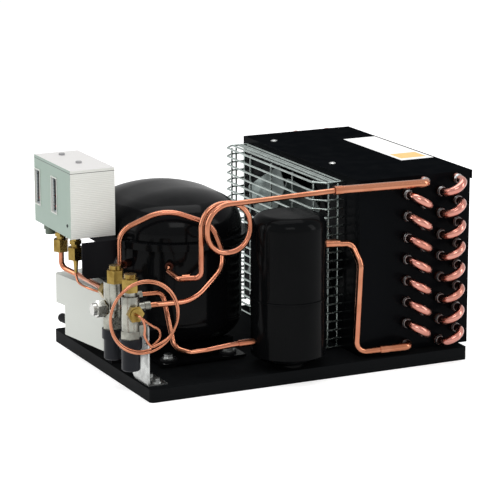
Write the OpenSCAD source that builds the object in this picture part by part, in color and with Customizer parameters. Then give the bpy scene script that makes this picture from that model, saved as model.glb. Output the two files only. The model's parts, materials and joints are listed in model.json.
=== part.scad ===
// Air-cooled condensing unit: a hermetic compressor, a liquid receiver and a finned condenser with its fan
// stand on a folded base tray, with two service valves and a dual pressure control on the left.
// Millimetres. X runs right along the front, Y runs back, Z runs up.
// The origin is the middle of the base tray's footprint, and places are measured from the tray's
// front left corner.

/* [Base tray] */
// Length of the tray, left to right
base_length = 405; // [400:1:460]
// Depth of the tray, front to back
base_depth = 288; // [284:1:320]
// Height of the tray's folded sides
base_height = 15; // [14:0.5:24]
// Thickness of the steel sheet
sheet = 1.5; // [1:0.1:2]
// Radius of the tray's upright corners
base_corner_r = 5; // [3:0.5:8]
// Width of the inward lips under the left and right sides
lip_width = 24; // [20:0.5:30]
// Diameter of the mounting holes in the lips
mount_hole_d = 8.5; // [6:0.5:10]
// Spacing of the mounting holes, left to right
mount_spacing_x = 381; // [376:1:385]
// Spacing of the mounting holes, front to back
mount_spacing_y = 230; // [200:1:240]
// Diameter of the tool holes in the tray above the mounting holes
tool_hole_d = 18; // [14:1:20]

/* [Compressor] */
// Distance of the compressor's middle from the tray's left edge
compressor_x = 98; // [97:0.5:102]
// Distance of the compressor's middle from the tray's front edge
compressor_y = 172; // [168:0.5:176]
// Radius of the shell's round ends
shell_r = 78; // [76:0.5:79]
// Half the length of the shell's straight flanks
shell_straight = 20; // [16:0.5:24]
// Thickness of the shell's steel
shell_wall = 3; // [2:0.25:4]
// Height of the shell's underside
shell_bottom_z = 32; // [30:0.5:36]
// Radius of the lower shell's bottom edge
shell_bottom_r = 30; // [24:1:34]
// Height of the joint between the two half shells
shell_seam_z = 153; // [148:0.5:156]
// Thickness of each half shell's rim
rim_thick = 4; // [3:0.25:5]
// How far the rims stand out
rim_out = 7; // [4:0.5:8]
// Height of the shell's crown
shell_top_z = 206; // [202:0.5:208]
// Radius of the upper shell's shoulder
shoulder_r = 35; // [28:1:38]
// Radius of the upper shell's crown
crown_r = 160; // [150:5:200]
// Spacing of the feet, left to right
feet_spacing_x = 75; // [70:1:80]
// Spacing of the feet, front to back
feet_spacing_y = 170; // [166:1:174]
// Diameter of the rubber grommets
grommet_d = 22; // [20:0.5:24]
// Diameter of the bolts through the feet
foot_bolt_d = 6; // [5:0.5:6]
// Thickness of the feet
foot_thick = 2.5; // [2:0.25:3]

/* [Compressor mechanism] */
// Diameter of the motor's stator
stator_d = 126; // [116:1:130]
// Height of the stator's laminations
stator_h = 42; // [36:1:46]
// Diameter of the rotor
rotor_d = 62; // [56:1:66]
// Gap between the rotor and the stator
air_gap = 0.4; // [0.3:0.05:0.6]
// Diameter of the crankshaft
shaft_d = 16; // [14:0.5:18]
// Distance of the crank pin from the shaft's axis
crank_throw = 8; // [6:0.5:9]
// Diameter of the piston
piston_d = 26; // [22:0.5:28]
// Radial clearance of the running fits
running_fit = 0.04; // [0.02:0.01:0.08]
// Gap below the connecting rod's eye
rod_gap = 0.5; // [0.4:0.1:0.8]

/* [Terminal cover] */
// Length of the cover along the shell
cover_length = 113; // [108:1:118]
// Length of the cover's narrower lower part
cover_low_length = 93; // [88:1:98]
// Height of the cover's underside
cover_z = 27; // [24:1:30]
// Height of the step between the lower and the upper part
cover_step_z = 62; // [58:1:66]
// Height of the cover's top
cover_top_z = 97; // [94:1:100]
// Thickness of the cover's plastic
cover_wall = 2.5; // [2:0.25:3]
// Angle of the cover's outer face to the tray's edge
cover_angle = 8.4; // [6:0.2:10]
// Diameter of the cable boot
boot_d = 11; // [9:0.5:12]

/* [Receiver] */
// Distance of the receiver's axis from the tray's left edge
receiver_x = 183; // [182:0.5:186]
// Distance of the receiver's axis from the tray's front edge
receiver_y = 26; // [24:0.5:27]
// Radius of the receiver
receiver_r = 43; // [41:0.25:43.5]
// Height of the receiver's lowest point over the tray
receiver_lift = 1; // [0.8:0.1:3]
// Height of the receiver's domed ends
dome_h = 14.5; // [12:0.5:16]
// Height of the receiver's straight wall
receiver_wall_h = 147.5; // [144:0.5:149]
// Thickness of the receiver's steel
receiver_wall = 3; // [2:0.25:4]
// Height of the weld bead above the receiver's bottom
bead_h = 82; // [60:1:84]
// Width of the weld bead
bead_w = 5; // [4:0.5:7]

/* [Condenser] */
// Distance of the fan shroud from the tray's left edge
cabinet_x = 271; // [269:0.5:272]
// Distance of the front end plate from the tray's front edge
cabinet_y = 20; // [19:0.5:22]
// Length of the end plates
cabinet_length = 145; // [144:0.5:150]
// Depth over both end plates
cabinet_depth = 305; // [295:1:320]
// Height of the top cover over the tray
cabinet_h = 207; // [206:0.5:212]
// Rows of tubes
tube_rows = 8; // [6:2:8]
// Columns of tubes
tube_columns = 4; // [4]
// Spacing of the rows
row_pitch = 25.4; // [24.5:0.1:25.6]
// Spacing of the columns
column_pitch = 22; // [21:0.25:22]
// Diameter of the condenser's tubes
tube_d = 9.52; // [8:0.1:10]
// Wall of the condenser's tubes
tube_wall = 0.6; // [0.4:0.1:1]
// Depth of the plenum between the shroud and the fins
plenum = 48; // [46:0.5:49]
// Number of fins
fin_count = 25; // [11:1:31]
// Thickness of a fin
fin_thick = 0.5; // [0.3:0.1:0.8]

/* [Fan] */
// Distance of the fan's axis from the tray's front edge
fan_y = 182; // [178:0.5:184]
// Height of the fan's axis over the tray
fan_h = 100; // [98:0.5:102]
// Diameter over the blades
fan_d = 188; // [180:1:188]
// Number of blades
blade_count = 5; // [3:1:6]
// Thickness of a blade
blade_thick = 1.2; // [0.8:0.1:1.6]
// Pitch angle of the blades
blade_pitch = 22; // [14:1:24]
// Diameter of the hub
hub_d = 32; // [28:1:36]
// Diameter of the fan motor
fan_motor_d = 74; // [60:1:80]
// Length of the fan motor
fan_motor_l = 34; // [28:1:34]
// Diameter of the fan's shaft
fan_shaft_d = 6; // [5:0.5:8]

/* [Fan guard] */
// Depth of the guard in front of the shroud
guard_depth = 35; // [34:0.5:36]
// Width of the guard, front to back
guard_width = 253; // [248:1:256]
// Number of hoops
hoop_count = 20; // [10:1:22]
// Height over the outer hoops
guard_h = 199; // [196:1:200]
// Diameter of the wire
wire_d = 2.4; // [2:0.1:2.6]
// Size of the cut corners
guard_corner = 11; // [9:0.5:12]

/* [Pressure control] */
// Width of the housing, left to right
control_w = 54.4; // [53:0.2:56]
// Length of the housing, front to back
control_l = 112; // [110:0.5:114]
// Height of the housing
control_h = 79; // [76:0.5:84]
// Height of the housing's underside
control_z = 160; // [159:0.5:164]
// Distance of the housing's front from the tray's front edge
control_y = 139; // [137:0.5:140]
// Clearance between the housing and the compressor's shell
control_gap = 1.4; // [1:0.1:2]
// Wall of the housing
control_wall = 2; // [1.5:0.25:2.5]
// Diameter of the two adjusting screws
adjuster_d = 7; // [6:0.5:8]
// Travel of the two pointers
pointer_travel = 24; // [18:1:26]

/* [Service valves] */
// Radius of the valve bodies
valve_r = 10; // [9:0.25:10]
// Diameter of the valve stems
stem_d = 8; // [7:0.25:9]
// Diameter of the stem caps' flange
cap_flange_d = 25; // [22:0.5:26]
// Width over the flats of the brass nuts
nut_af = 17; // [15:0.5:18]

/* [Tubes] */
// Diameter of the refrigerant lines
line_d = 6.35; // [5:0.05:6.5]
// Wall of the refrigerant lines
line_wall = 0.8; // [0.6:0.1:1]
// Diameter of the line from the receiver
outlet_d = 8; // [6.35:0.05:8.2]
// Radius of the vibration loop in the discharge line
loop_r = 27.7; // [26.5:0.1:28]
// Diameter of the capillary tube
capillary_d = 3.2; // [2.4:0.1:3.2]
// Radius of the capillary coil
coil_r = 41.9; // [40:0.1:43]
// Turns of the capillary coil
coil_turns = 2; // [1:1:3]
// Pitch of the capillary coil
coil_pitch = 3.9; // [3.8:0.1:4]

/* [Hidden] */
$fn = 48;

// Overrun of the cuts
cut = 1;
// How much thicker a bend's wall is on each face, and how far a straight length laps into it
swell = 0.04;
lap = 0.25;
// Clearance between pieces that lie side by side
gap = 0.3;
// Clearance of bolts and screws in their holes
bolt_gap = 0.3;

// Compressor
shell_half_l = shell_r + shell_straight;
crown_centre_z = shell_top_z - crown_r;
shoulder_z = crown_centre_z + sqrt(pow(crown_r - shoulder_r, 2) - pow(shell_r - shoulder_r, 2));
foot_pad_r = grommet_d / 2 + 2 * foot_thick;
foot_z = base_height + foot_thick;
grommet_rim = 0.8 * foot_thick;
washer_h = 0.6 * foot_thick;
grommet_top_z = foot_z + foot_thick + grommet_rim;

// Compressor mechanism
post_h = 26;
post_r = 5;
post_place_r = shell_r - shell_bottom_r + 1.2 * post_r;
stator_z = shell_bottom_z + shell_wall + post_h;
winding_h = 14;
winding_wall = 14;
rotor_over = 2;
rotor_h = stator_h + 2 * rotor_over;
bearing_z = stator_z + stator_h + winding_h + gap;
bearing_h = 16;
bearing_d = 2 * shaft_d;
bearing_len = bearing_h + 0.7 * winding_h;
pin_d = 0.6 * shaft_d;
web_h = 6;
web_z = bearing_z + bearing_h + gap;
pin_h = 10;
pin_top_z = web_z + web_h + pin_h;
eye_z = pin_top_z + rod_gap;
rod_h = 6;
bore_z = eye_z + rod_h / 2;
piston_l = 20;
piston_gap = 1;
cylinder_l = 34;
cylinder_wall = 7;
cylinder_y = crank_throw + shaft_d;
piston_y = cylinder_y + cylinder_l - piston_l - piston_gap;

// Compressor ports, as angles round the front end of the shell
port_d = 1.5 * line_d;
suction_port_angle = 204.3;
suction_port_z = 130.5;
discharge_port_angle = 241.8;
discharge_port_z = 132.5;
port_out = 8;
port_in = 6;
end_y = compressor_y - shell_straight;

// Terminal cover
cover_r = 5;
cover_stand = 21;
cover_x = compressor_x - shell_r - cover_stand;
cover_front_y = 129;
cover_deep = 52;
relay_size = [12, 46, 34];
boot_l = 23;
boot_z = cover_z + 1.3 * boot_d;

// Receiver
receiver_bottom_z = base_height + receiver_lift;
receiver_low_z = receiver_bottom_z + dome_h;
receiver_high_z = receiver_low_z + receiver_wall_h;
receiver_top_z = receiver_high_z + dome_h;
dome_base_r = receiver_r - gap / 2;
dome_r = (dome_base_r * dome_base_r + dome_h * dome_h) / (2 * dome_h);
bead_z = receiver_bottom_z + bead_h;
bead_out = 1.2;
liquid_in_h = 31.3;
liquid_out_h = 135.5;
liquid_in_z = receiver_bottom_z + liquid_in_h;
liquid_out_z = receiver_bottom_z + liquid_out_h;

// Condenser
cabinet_top = base_height + cabinet_h;
plate_z = base_height + gap;
plate_h = cabinet_h - sheet - gap;
cabinet_back = cabinet_y + cabinet_depth;
fins_x = cabinet_x + plenum;
first_column_x = fins_x + column_pitch / 2 + gap;
fins_w = tube_columns * column_pitch + 2 * gap;
fin_top_z = cabinet_top - sheet - gap;
bell_l = 4;
tube_out = 7;
bend_r = row_pitch / 2;
top_row_z = fin_top_z - 2 * gap - tube_d / 2 - bend_r;
bell_wall = 1.1;
bell_d = tube_d + 2 * bell_wall;
bell_neck = 1;
bend_leg = 6;
flange = 12;
cover_lip = 10;
screw_d = 4;
screw_shares = [0.335, 0.84];
cover_over = 3;
shroud_flange = 30;
inlet_column = 1;
outlet_column = 0;

// Fan
fan_z = base_height + fan_h;
tip_gap = 4;
orifice_r = fan_d / 2 + tip_gap;
collar_l = 9;
blade_in = 12;
blade_x = cabinet_x - blade_in;
hub_l = 14;
blade_w = 15;
blade_bow_r = 90;
motor_in = 4;
motor_x = cabinet_x + motor_in;
strap_w = 16;
strap_x = motor_x + fan_motor_l;
stub_l = 10;
fan_shaft_l = motor_x - blade_x + hub_l / 2 + fan_motor_l / 2;

// Fan guard
guard_x = cabinet_x - guard_depth;
guard_y = fan_y - 0.48 * guard_width;
guard_lift = 1;
guard_z = base_height + guard_lift;
hoop_pitch = (guard_h - wire_d) / (hoop_count - 1);
wire_gap = 0.05;

// Pressure control
control_x = compressor_x - shell_r - control_gap - control_w;
fitting_in = 9.8;
fitting_x = control_x + fitting_in;
control_top = control_z + control_h;
capillary_port_y = control_y + 0.1 * control_l;
tube_port_y = control_y + 0.5 * control_l;
gland_y = control_y + 0.795 * control_l;
lid_t = control_wall;
adjuster_x = control_x + control_w / 2;
differential_y = control_y + 0.366 * control_l;
range_y = control_y + 0.83 * control_l;
window_w = 15;
window_h = 40;
window_low = 22;
window_z = control_z + window_low;
window_shift = 9;
bellows_r = 7;
bellows_rib = 2.2;
fitting_r = 5.5;
fitting_h = 11.5;
flare_nut_h = 14.5;
tail_h = 15.5;
pointer_start = 6;
pointer_low_z = window_z + pointer_start;
pointer_h = 5;
adjuster_fit = 0.3;
adjuster_out = 2;
adjuster_l = 55;
slot_w = 1;
switch_size = [10, 72, 30];
scale_side = 2;
scale_t = 1;
gland_r = 6;
gland_h = 12;

// Brackets
web_front = 22;
web_h_front = 42;
shelf_in = 14;
post_w = 13;
bracket_x = 3;
bracket_t = 2;
bracket_front_y = 13.8;
bracket_top_z = 89;
bracket_corner = 9;
bracket_back = 4;
bracket_length = 46;
bracket_cut = 34;
bracket_bolt_x = 17;
bracket_foot = 24;
bracket_bolt_d = 5;
bolt_shares = [0.27, 0.77];
bracket_foot_w = bracket_length - bracket_corner;

// Service valves
suction_valve = [-13.5, 22.5];
liquid_valve = [-13, 74];
suction_body = [80, 119];
liquid_body = [84, 124];
suction_line_z = 105.7;
liquid_line_z = 104.7;
neck_r = 6.8;
suction_hex_z = 71;
liquid_hex_z = 70;
valve_hex_af = 20;
boss_h = 12;
boss_w = 13;
boss_z = 74;
ferrule_r = 5;
ferrule_l = 6.6;
suction_tube_x = 9.3;
liquid_tube_x = 21.5;
cap_flange_h = 11;
cap_r = 10.5;
cap_bottom_z = 34.6;
cap_wall = 2.5;
square_l = 13;
front_port_z = 101.5;
front_nut_y = 5.6;
rear_port_z = 109.6;
rear_nut_y = 97;
side_port_z = 94;
front_nut_l = suction_valve[1] - valve_r - front_nut_y - gap;
rear_nut_l = rear_nut_y - liquid_valve[1] - valve_r - gap;
side_nut_l = 15;
top_nut_l = 20;
nut_boss = 5;
liquid_neck_y = liquid_valve[1] - 0.8 * valve_r;
nut_bore_share = 0.6;

// Vibration loop in the discharge line
loop_x = 106.9;
loop_y = 24;
loop_z = 182.9;
loop_step = 2.5;
riser_shift = 3.6;

function unit(v) = v / norm(v);
function bend_angle(a, b) = acos(max(-1, min(1, a * b)));

// Places a child's X, Y and Z along three given directions
module framed(x, y, z, place) {
    multmatrix([
        [x[0], y[0], z[0], place[0]],
        [x[1], y[1], z[1], place[1]],
        [x[2], y[2], z[2], place[2]],
        [0, 0, 0, 1]
    ]) children();
}

// Moves a child from the tray's front left corner to the origin in the middle of the tray
module placed() {
    translate([-base_length / 2, -base_depth / 2, 0]) children();
}

// Section of a rod, or of a tube where it has a bore
module section(d, bore) {
    difference() {
        circle(d = d);
        if (bore > 0) circle(d = bore);
    }
}

// Straight rod or tube between two points
module straight(from, to, d, bore = 0) {
    a = unit(to - from);
    side = abs(a[2]) > 0.9 ? [1, 0, 0] : [0, 0, 1];
    u = unit(cross(side, a));
    framed(u, cross(a, u), a, from)
        linear_extrude(norm(to - from)) section(d, bore);
}

// Length that a bend takes from the corner of a route
function bend_reach(points, radii, i) =
    i <= 0 || i >= len(points) - 1 ? 0 :
    let (a = unit(points[i] - points[i - 1]), b = unit(points[i + 1] - points[i]))
    radii[i - 1] * tan(bend_angle(a, b) / 2);

// Bent rod or tube along a route, with one radius at each corner. The bends are a hair thicker than the
// straight lengths, which lap into them.
module pipe(points, radii, d, bore = 0) {
    last = len(points) - 1;
    for (i = [0:last - 1]) {
        a = unit(points[i + 1] - points[i]);
        from = points[i] + a * (bend_reach(points, radii, i) - (i > 0 ? lap : 0));
        to = points[i + 1] - a * (bend_reach(points, radii, i + 1) - (i + 1 < last ? lap : 0));
        straight(from, to, d, bore);
    }
    for (i = [1:last - 1]) {
        a = unit(points[i] - points[i - 1]);
        b = unit(points[i + 1] - points[i]);
        r = radii[i - 1];
        inward = unit(b - a * (a * b));
        centre = points[i] - a * bend_reach(points, radii, i) + inward * r;
        framed(-inward, a, cross(-inward, a), centre)
            rotate_extrude(angle = bend_angle(a, b)) translate([r, 0])
            section(d + 2 * swell, bore > 0 ? bore - 2 * swell : 0);
    }
}

// Ring about an upright axis
module ring(outer_r, inner_r, h) {
    linear_extrude(h) difference() {
        circle(r = outer_r);
        circle(r = inner_r);
    }
}

// Six-sided bar, by the width over its flats
module hex_bar(af, h) {
    cylinder(d = af / cos(30), h = h, $fn = 6);
}

// Slab with round upright corners
module rounded_slab(l, w, h, r) {
    translate([r, 0, 0]) cube([l - 2 * r, w, h]);
    translate([0, r, 0]) cube([l, w - 2 * r, h]);
    for (x = [r, l - r], y = [r, w - r]) translate([x, y, 0]) cylinder(r = r, h = h);
}

// Solid with straight flanks and half-round ends from a profile of radius and height
module stadium(half_l) {
    for (side = [0, 180]) rotate([0, 0, side]) translate([0, half_l, 0])
        rotate_extrude(angle = 180) children();
    rotate([90, 0, 0]) linear_extrude(2 * half_l, center = true) {
        children();
        mirror([1, 0]) children();
    }
}

module at_compressor() {
    placed() translate([compressor_x, compressor_y, 0]) children();
}

module at_feet() {
    for (x = [-1, 1], y = [-1, 1])
        translate([x * feet_spacing_x / 2, y * feet_spacing_y / 2, 0]) children();
}

module at_mounting_holes() {
    for (x = [-1, 1], y = [-1, 1])
        translate([x * mount_spacing_x / 2, y * mount_spacing_y / 2, 0]) children();
}

module at_bracket_bolts() {
    placed() for (share = bolt_shares)
        translate([bracket_bolt_x, bracket_front_y + share * bracket_foot_w, 0]) children();
}

module base_tray() color("#1c1c1e") {
    difference() {
        union() {
            difference() {
                placed() rounded_slab(base_length, base_depth, base_height, base_corner_r);
                placed() translate([sheet, sheet, -cut]) rounded_slab(base_length - 2 * sheet,
                    base_depth - 2 * sheet, base_height - sheet + cut, base_corner_r - sheet);
            }
            for (side = [0, 180]) rotate([0, 0, side])
                translate([base_length / 2 - lip_width, -base_depth / 2 + flange, 0])
                cube([lip_width - sheet / 2, base_depth - 2 * flange, sheet]);
        }
        at_mounting_holes() translate([0, 0, -cut]) cylinder(d = mount_hole_d, h = sheet + 2 * cut);
        at_mounting_holes() translate([0, 0, base_height / 2]) cylinder(d = tool_hole_d, h = base_height);
        at_compressor() at_feet() translate([0, 0, base_height / 2])
            cylinder(d = foot_bolt_d + 2 * bolt_gap, h = base_height);
        at_bracket_bolts() translate([0, 0, base_height / 2])
            cylinder(d = bracket_bolt_d + 2 * bolt_gap, h = base_height);
    }
}

// Profile of the upper shell, grown inward by a wall
module upper_profile(wall, bottom_z) {
    r = shell_r - wall;
    turn = [shell_r - shoulder_r, shoulder_z - crown_centre_z] / (crown_r - shoulder_r);
    translate([0, bottom_z]) square([r, shoulder_z - bottom_z]);
    intersection() {
        translate([shell_r - shoulder_r, shoulder_z]) circle(r = shoulder_r - wall, $fn = 96);
        translate([0, bottom_z]) square([2 * shell_r, shell_top_z]);
    }
    intersection() {
        translate([0, crown_centre_z]) circle(r = crown_r - wall, $fn = 180);
        polygon([
            [0, shoulder_z - wall], [0, 2 * shell_top_z],
            turn * 2 * crown_r + [0, crown_centre_z], [shell_r - shoulder_r, shoulder_z],
            [shell_r - shoulder_r, shoulder_z - wall]
        ]);
    }
}

// Profile of the lower shell, grown inward by a wall
module lower_profile(wall, top_z) {
    r = shell_r - wall;
    edge = shell_bottom_r - wall;
    bottom = shell_bottom_z + wall;
    translate([0, bottom + edge]) square([r, top_z - bottom - edge]);
    translate([0, bottom]) square([r - edge, edge + wall]);
    translate([r - edge, bottom + edge]) circle(r = edge, $fn = 96);
}

// Hole or pin along a radius of the shell's front end
module at_port(angle, z) {
    placed() translate([compressor_x, end_y, z]) rotate([0, 0, angle]) rotate([0, 90, 0]) children();
}

module compressor_lower_shell() color("#141416") {
    difference() {
        at_compressor() stadium(shell_straight) {
            difference() {
                lower_profile(0, shell_seam_z);
                lower_profile(shell_wall, shell_seam_z + cut);
            }
            translate([shell_r - shell_wall, shell_seam_z - rim_thick])
                square([rim_out + shell_wall, rim_thick]);
        }
        at_port(suction_port_angle, suction_port_z) translate([0, 0, shell_r / 2])
            cylinder(d = port_d + 2 * gap, h = shell_r);
        at_port(discharge_port_angle, discharge_port_z) translate([0, 0, shell_r / 2])
            cylinder(d = port_d + 2 * gap, h = shell_r);
    }
}

module compressor_upper_shell() color("#141416") {
    at_compressor() stadium(shell_straight) {
        difference() {
            upper_profile(0, shell_seam_z);
            upper_profile(shell_wall, shell_seam_z - cut);
        }
        translate([shell_r - shell_wall, shell_seam_z]) square([rim_out + shell_wall, rim_thick]);
    }
}

// Two pressed feet: a pad under each grommet and a web up to the shell's flat underside
module compressor_feet() color("#1a1a1c") {
    pad_l = feet_spacing_x + 2 * foot_pad_r;
    web_y = shell_half_l - shell_bottom_r - 2 * foot_thick;
    at_compressor() for (side = [0, 180]) rotate([0, 0, side]) {
        difference() {
            translate([-pad_l / 2, web_y, foot_z])
                cube([pad_l, feet_spacing_y / 2 + foot_pad_r - web_y, foot_thick]);
            for (x = [-1, 1]) translate([x * feet_spacing_x / 2, feet_spacing_y / 2, foot_z - cut])
                cylinder(d = 0.62 * grommet_d + 2 * gap, h = foot_thick + 2 * cut);
        }
        translate([-pad_l / 2, web_y, foot_z]) cube([pad_l, foot_thick, shell_bottom_z - foot_z]);
        translate([-pad_l / 2, web_y - 3 * foot_thick, shell_bottom_z - foot_thick])
            cube([pad_l, 4 * foot_thick, foot_thick]);
    }
}

module foot_grommets() color("#202022") {
    at_compressor() at_feet() rotate_extrude() polygon([
        [foot_bolt_d / 2 + bolt_gap, base_height], [grommet_d / 2, base_height],
        [grommet_d / 2, foot_z], [0.31 * grommet_d, foot_z],
        [0.31 * grommet_d, foot_z + foot_thick], [0.45 * grommet_d, foot_z + foot_thick],
        [0.45 * grommet_d, grommet_top_z], [foot_bolt_d / 2 + bolt_gap, grommet_top_z]
    ]);
}

// Hexagon bolt with a washer over a seat and a nut under the tray
module bolt(d, seat_z) {
    af = 1.65 * d;
    under = base_height - sheet;
    translate([0, 0, seat_z]) cylinder(r = 1.3 * d, h = washer_h);
    translate([0, 0, seat_z + washer_h]) hex_bar(af, 0.65 * d);
    translate([0, 0, under - d]) cylinder(d = d, h = seat_z + washer_h - under + d);
    translate([0, 0, under - 0.8 * d]) hex_bar(af, 0.8 * d);
}

module fixing_bolts() color("#c9c9c4") {
    at_compressor() at_feet() bolt(foot_bolt_d, grommet_top_z);
    at_bracket_bolts() bolt(bracket_bolt_d, base_height + sheet);
}

module motor_stator() color("#8d8f92") {
    at_compressor() difference() {
        union() {
            translate([0, 0, stator_z]) cylinder(d = stator_d, h = stator_h);
            translate([0, 0, stator_z - winding_h])
                cylinder(r = rotor_d / 2 + winding_wall, h = stator_h + 2 * winding_h);
        }
        translate([0, 0, stator_z - winding_h - cut])
            cylinder(r = rotor_d / 2 + air_gap, h = stator_h + 2 * (winding_h + cut));
    }
}

module motor_rotor() color("#a7a9ab") {
    at_compressor() translate([0, 0, stator_z - (rotor_h - stator_h) / 2])
        ring(rotor_d / 2, shaft_d / 2, rotor_h);
}

// Shaft with a crank web and pin at its top
module crankshaft() color("#b4b6b8") {
    shaft_z = stator_z - winding_h / 2;
    at_compressor() {
        translate([0, 0, shaft_z]) cylinder(d = shaft_d, h = web_z - shaft_z);
        translate([0, 0, web_z]) {
            cylinder(r = crank_throw + 0.6 * pin_d, h = web_h);
            translate([0, crank_throw, 0]) cylinder(d = pin_d, h = web_h + pin_h);
        }
    }
}

// Iron block with the shaft's bearing and the cylinder, closed by its head
module cylinder_block() color("#6f7174") {
    bore_d = piston_d + 2 * running_fit;
    outer_r = bore_d / 2 + cylinder_wall;
    head_y = cylinder_y + cylinder_l;
    at_compressor() difference() {
        union() {
            translate([0, 0, bearing_z]) cylinder(r = rotor_d / 2 + winding_wall, h = bearing_h);
            translate([0, 0, bearing_z + bearing_h - bearing_len]) cylinder(d = bearing_d, h = bearing_len);
            translate([-outer_r, cylinder_y, bearing_z])
                cube([2 * outer_r, cylinder_l, bore_z - bearing_z]);
            translate([0, cylinder_y, bore_z]) rotate([-90, 0, 0]) cylinder(r = outer_r, h = cylinder_l);
            translate([-outer_r, head_y, bore_z - outer_r]) cube([2 * outer_r, web_h, 2 * outer_r]);
        }
        translate([0, 0, bearing_z - winding_h])
            cylinder(d = shaft_d + 2 * running_fit, h = bearing_h + winding_h + cut);
        translate([0, cylinder_y - cut, bore_z]) rotate([-90, 0, 0])
            cylinder(d = bore_d, h = cylinder_l + cut);
    }
}

module piston() color("#c2c4c6") {
    at_compressor() translate([0, piston_y, bore_z]) rotate([-90, 0, 0])
        difference() {
            cylinder(d = piston_d, h = piston_l);
            translate([0, 0, -cut]) cylinder(d = piston_d - shaft_d / 2, h = piston_l / 2 + cut);
        }
}

// Rod from the piston's floor to the eye over the crank pin
module connecting_rod() color("#9b9da0") {
    floor_y = piston_y + piston_l / 2;
    at_compressor() translate([0, crank_throw, eye_z]) {
        ring(pin_d, pin_d / 2 + running_fit, rod_h);
        difference() {
            translate([-pin_d / 2, 0, 0]) cube([pin_d, floor_y - crank_throw, rod_h]);
            translate([0, 0, -cut]) cylinder(d = 1.8 * pin_d, h = rod_h + 2 * cut);
        }
    }
}

// Four posts that carry the motor inside the shell
module suspension_mounts() color("#303234") {
    floor_z = shell_bottom_z + shell_wall;
    at_compressor() for (a = [45:90:315]) rotate([0, 0, a])
        translate([post_place_r, 0, floor_z]) cylinder(r = post_r, h = stator_z - floor_z);
}

// Tube stubs brazed into the shell
module shell_ports() color("#8e3b24") {
    for (port = [[suction_port_angle, suction_port_z], [discharge_port_angle, discharge_port_z]])
        at_port(port[0], port[1]) translate([0, 0, shell_r - port_in])
            ring(port_d / 2, line_d / 2 - line_wall, port_in + port_out);
}

// Outline of the terminal cover along the shell, shrunk by a wall
module cover_block(wall) {
    placed() translate([cover_x, cover_front_y, 0]) rotate([0, 0, cover_angle]) {
        translate([wall, wall, cover_z + wall])
            rounded_slab(cover_deep, cover_low_length - 2 * wall, cover_top_z - cover_z - 2 * wall,
                cover_r - wall / 2);
        translate([wall, wall, cover_step_z + wall])
            rounded_slab(cover_deep, cover_length - 2 * wall, cover_top_z - cover_step_z - 2 * wall,
                cover_r - wall / 2);
    }
}

module terminal_cover() color("#e9e9e4") {
    difference() {
        cover_block(0);
        cover_block(cover_wall);
        at_compressor() stadium(shell_straight) square([shell_r + gap, shell_top_z]);
    }
}

module starting_device() color("#35373a") {
    placed() translate([compressor_x - shell_r - relay_size[0], compressor_y - relay_size[1] / 2,
        cover_step_z - relay_size[2] / 2]) cube(relay_size);
}

module cable_boot() color("#232427") {
    placed() translate([cover_x, cover_front_y, 0]) rotate([0, 0, cover_angle])
        translate([0.8 * boot_d, cover_low_length, boot_z]) rotate([-90, 0, 0]) {
            cylinder(d = boot_d, h = boot_l - boot_d / 2);
            translate([0, 0, boot_l - boot_d / 2]) sphere(d = boot_d);
        }
}

// Half profile of the receiver, shrunk by a wall: a domed bottom and a flat top with a round shoulder
module receiver_profile(wall) {
    translate([0, receiver_low_z]) square([receiver_r - wall, receiver_wall_h]);
    intersection() {
        translate([0, receiver_bottom_z]) square([receiver_r, dome_h]);
        translate([0, receiver_bottom_z + dome_r]) circle(r = dome_r - wall, $fn = 120);
    }
    translate([receiver_r - dome_h, receiver_high_z]) circle(r = dome_h - gap / 2 - wall, $fn = 120);
    translate([0, receiver_high_z - cut]) square([receiver_r - dome_h, dome_h - gap - wall + cut]);
}

module at_receiver() {
    placed() translate([receiver_x, receiver_y, 0]) children();
}

module receiver_half(from_z, to_z, port_z, port_side, bore) {
    difference() {
        at_receiver() rotate_extrude() intersection() {
            difference() {
                receiver_profile(0);
                receiver_profile(receiver_wall);
            }
            translate([0, from_z]) square([receiver_r, to_z - from_z]);
        }
        at_receiver() translate([0, 0, port_z]) rotate([0, 90, port_side])
            cylinder(d = bore + 2 * gap, h = 2 * receiver_r);
    }
}

module receiver_top() color("#18181a") {
    receiver_half(bead_z, receiver_top_z, liquid_out_z, 0, outlet_d);
}

module receiver_bottom() color("#18181a") {
    receiver_half(receiver_bottom_z, bead_z, liquid_in_z, 180, line_d);
    at_receiver() translate([0, 0, bead_z - bead_w]) rotate_extrude() polygon([
        [receiver_r - receiver_wall / 2, 0.1 * bead_w], [receiver_r + bead_out, 0.3 * bead_w],
        [receiver_r + bead_out, 0.7 * bead_w], [receiver_r - receiver_wall / 2, 0.9 * bead_w]
    ]);
}

// Ring foot welded to the tray, cupped to the receiver's lower dome
module receiver_bracket() color("#18181a") {
    foot_r = receiver_r / 2;
    difference() {
        at_receiver() translate([0, 0, base_height]) ring(foot_r, foot_r - 2 * receiver_wall, dome_h);
        at_receiver() translate([0, 0, receiver_bottom_z + dome_r]) sphere(r = dome_r + gap / 2, $fn = 96);
    }
}

function column_x(c) = first_column_x + c * column_pitch;
function row_z(c, r) = top_row_z + (c % 2) * bend_r - r * row_pitch;

module at_tubes() {
    placed() for (c = [0:tube_columns - 1], r = [0:tube_rows - 1])
        translate([column_x(c), 0, row_z(c, r)]) children();
}

// End plate drilled for the tubes, with a folded right edge
module end_plate(y, fold_y) {
    difference() {
        placed() {
            translate([cabinet_x, y, plate_z]) cube([cabinet_length, sheet, plate_h]);
            translate([cabinet_x + cabinet_length - sheet, fold_y, plate_z]) cube([sheet, flange, plate_h]);
        }
        at_tubes() translate([0, y + sheet + cut, 0]) rotate([90, 0, 0])
            cylinder(d = tube_d + 2 * gap, h = sheet + 2 * cut);
    }
}

module front_end_plate() color("#101012") {
    end_plate(cabinet_y, cabinet_y + sheet);
}

module rear_end_plate() color("#101012") {
    end_plate(cabinet_back - sheet, cabinet_back - sheet - flange);
}

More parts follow.
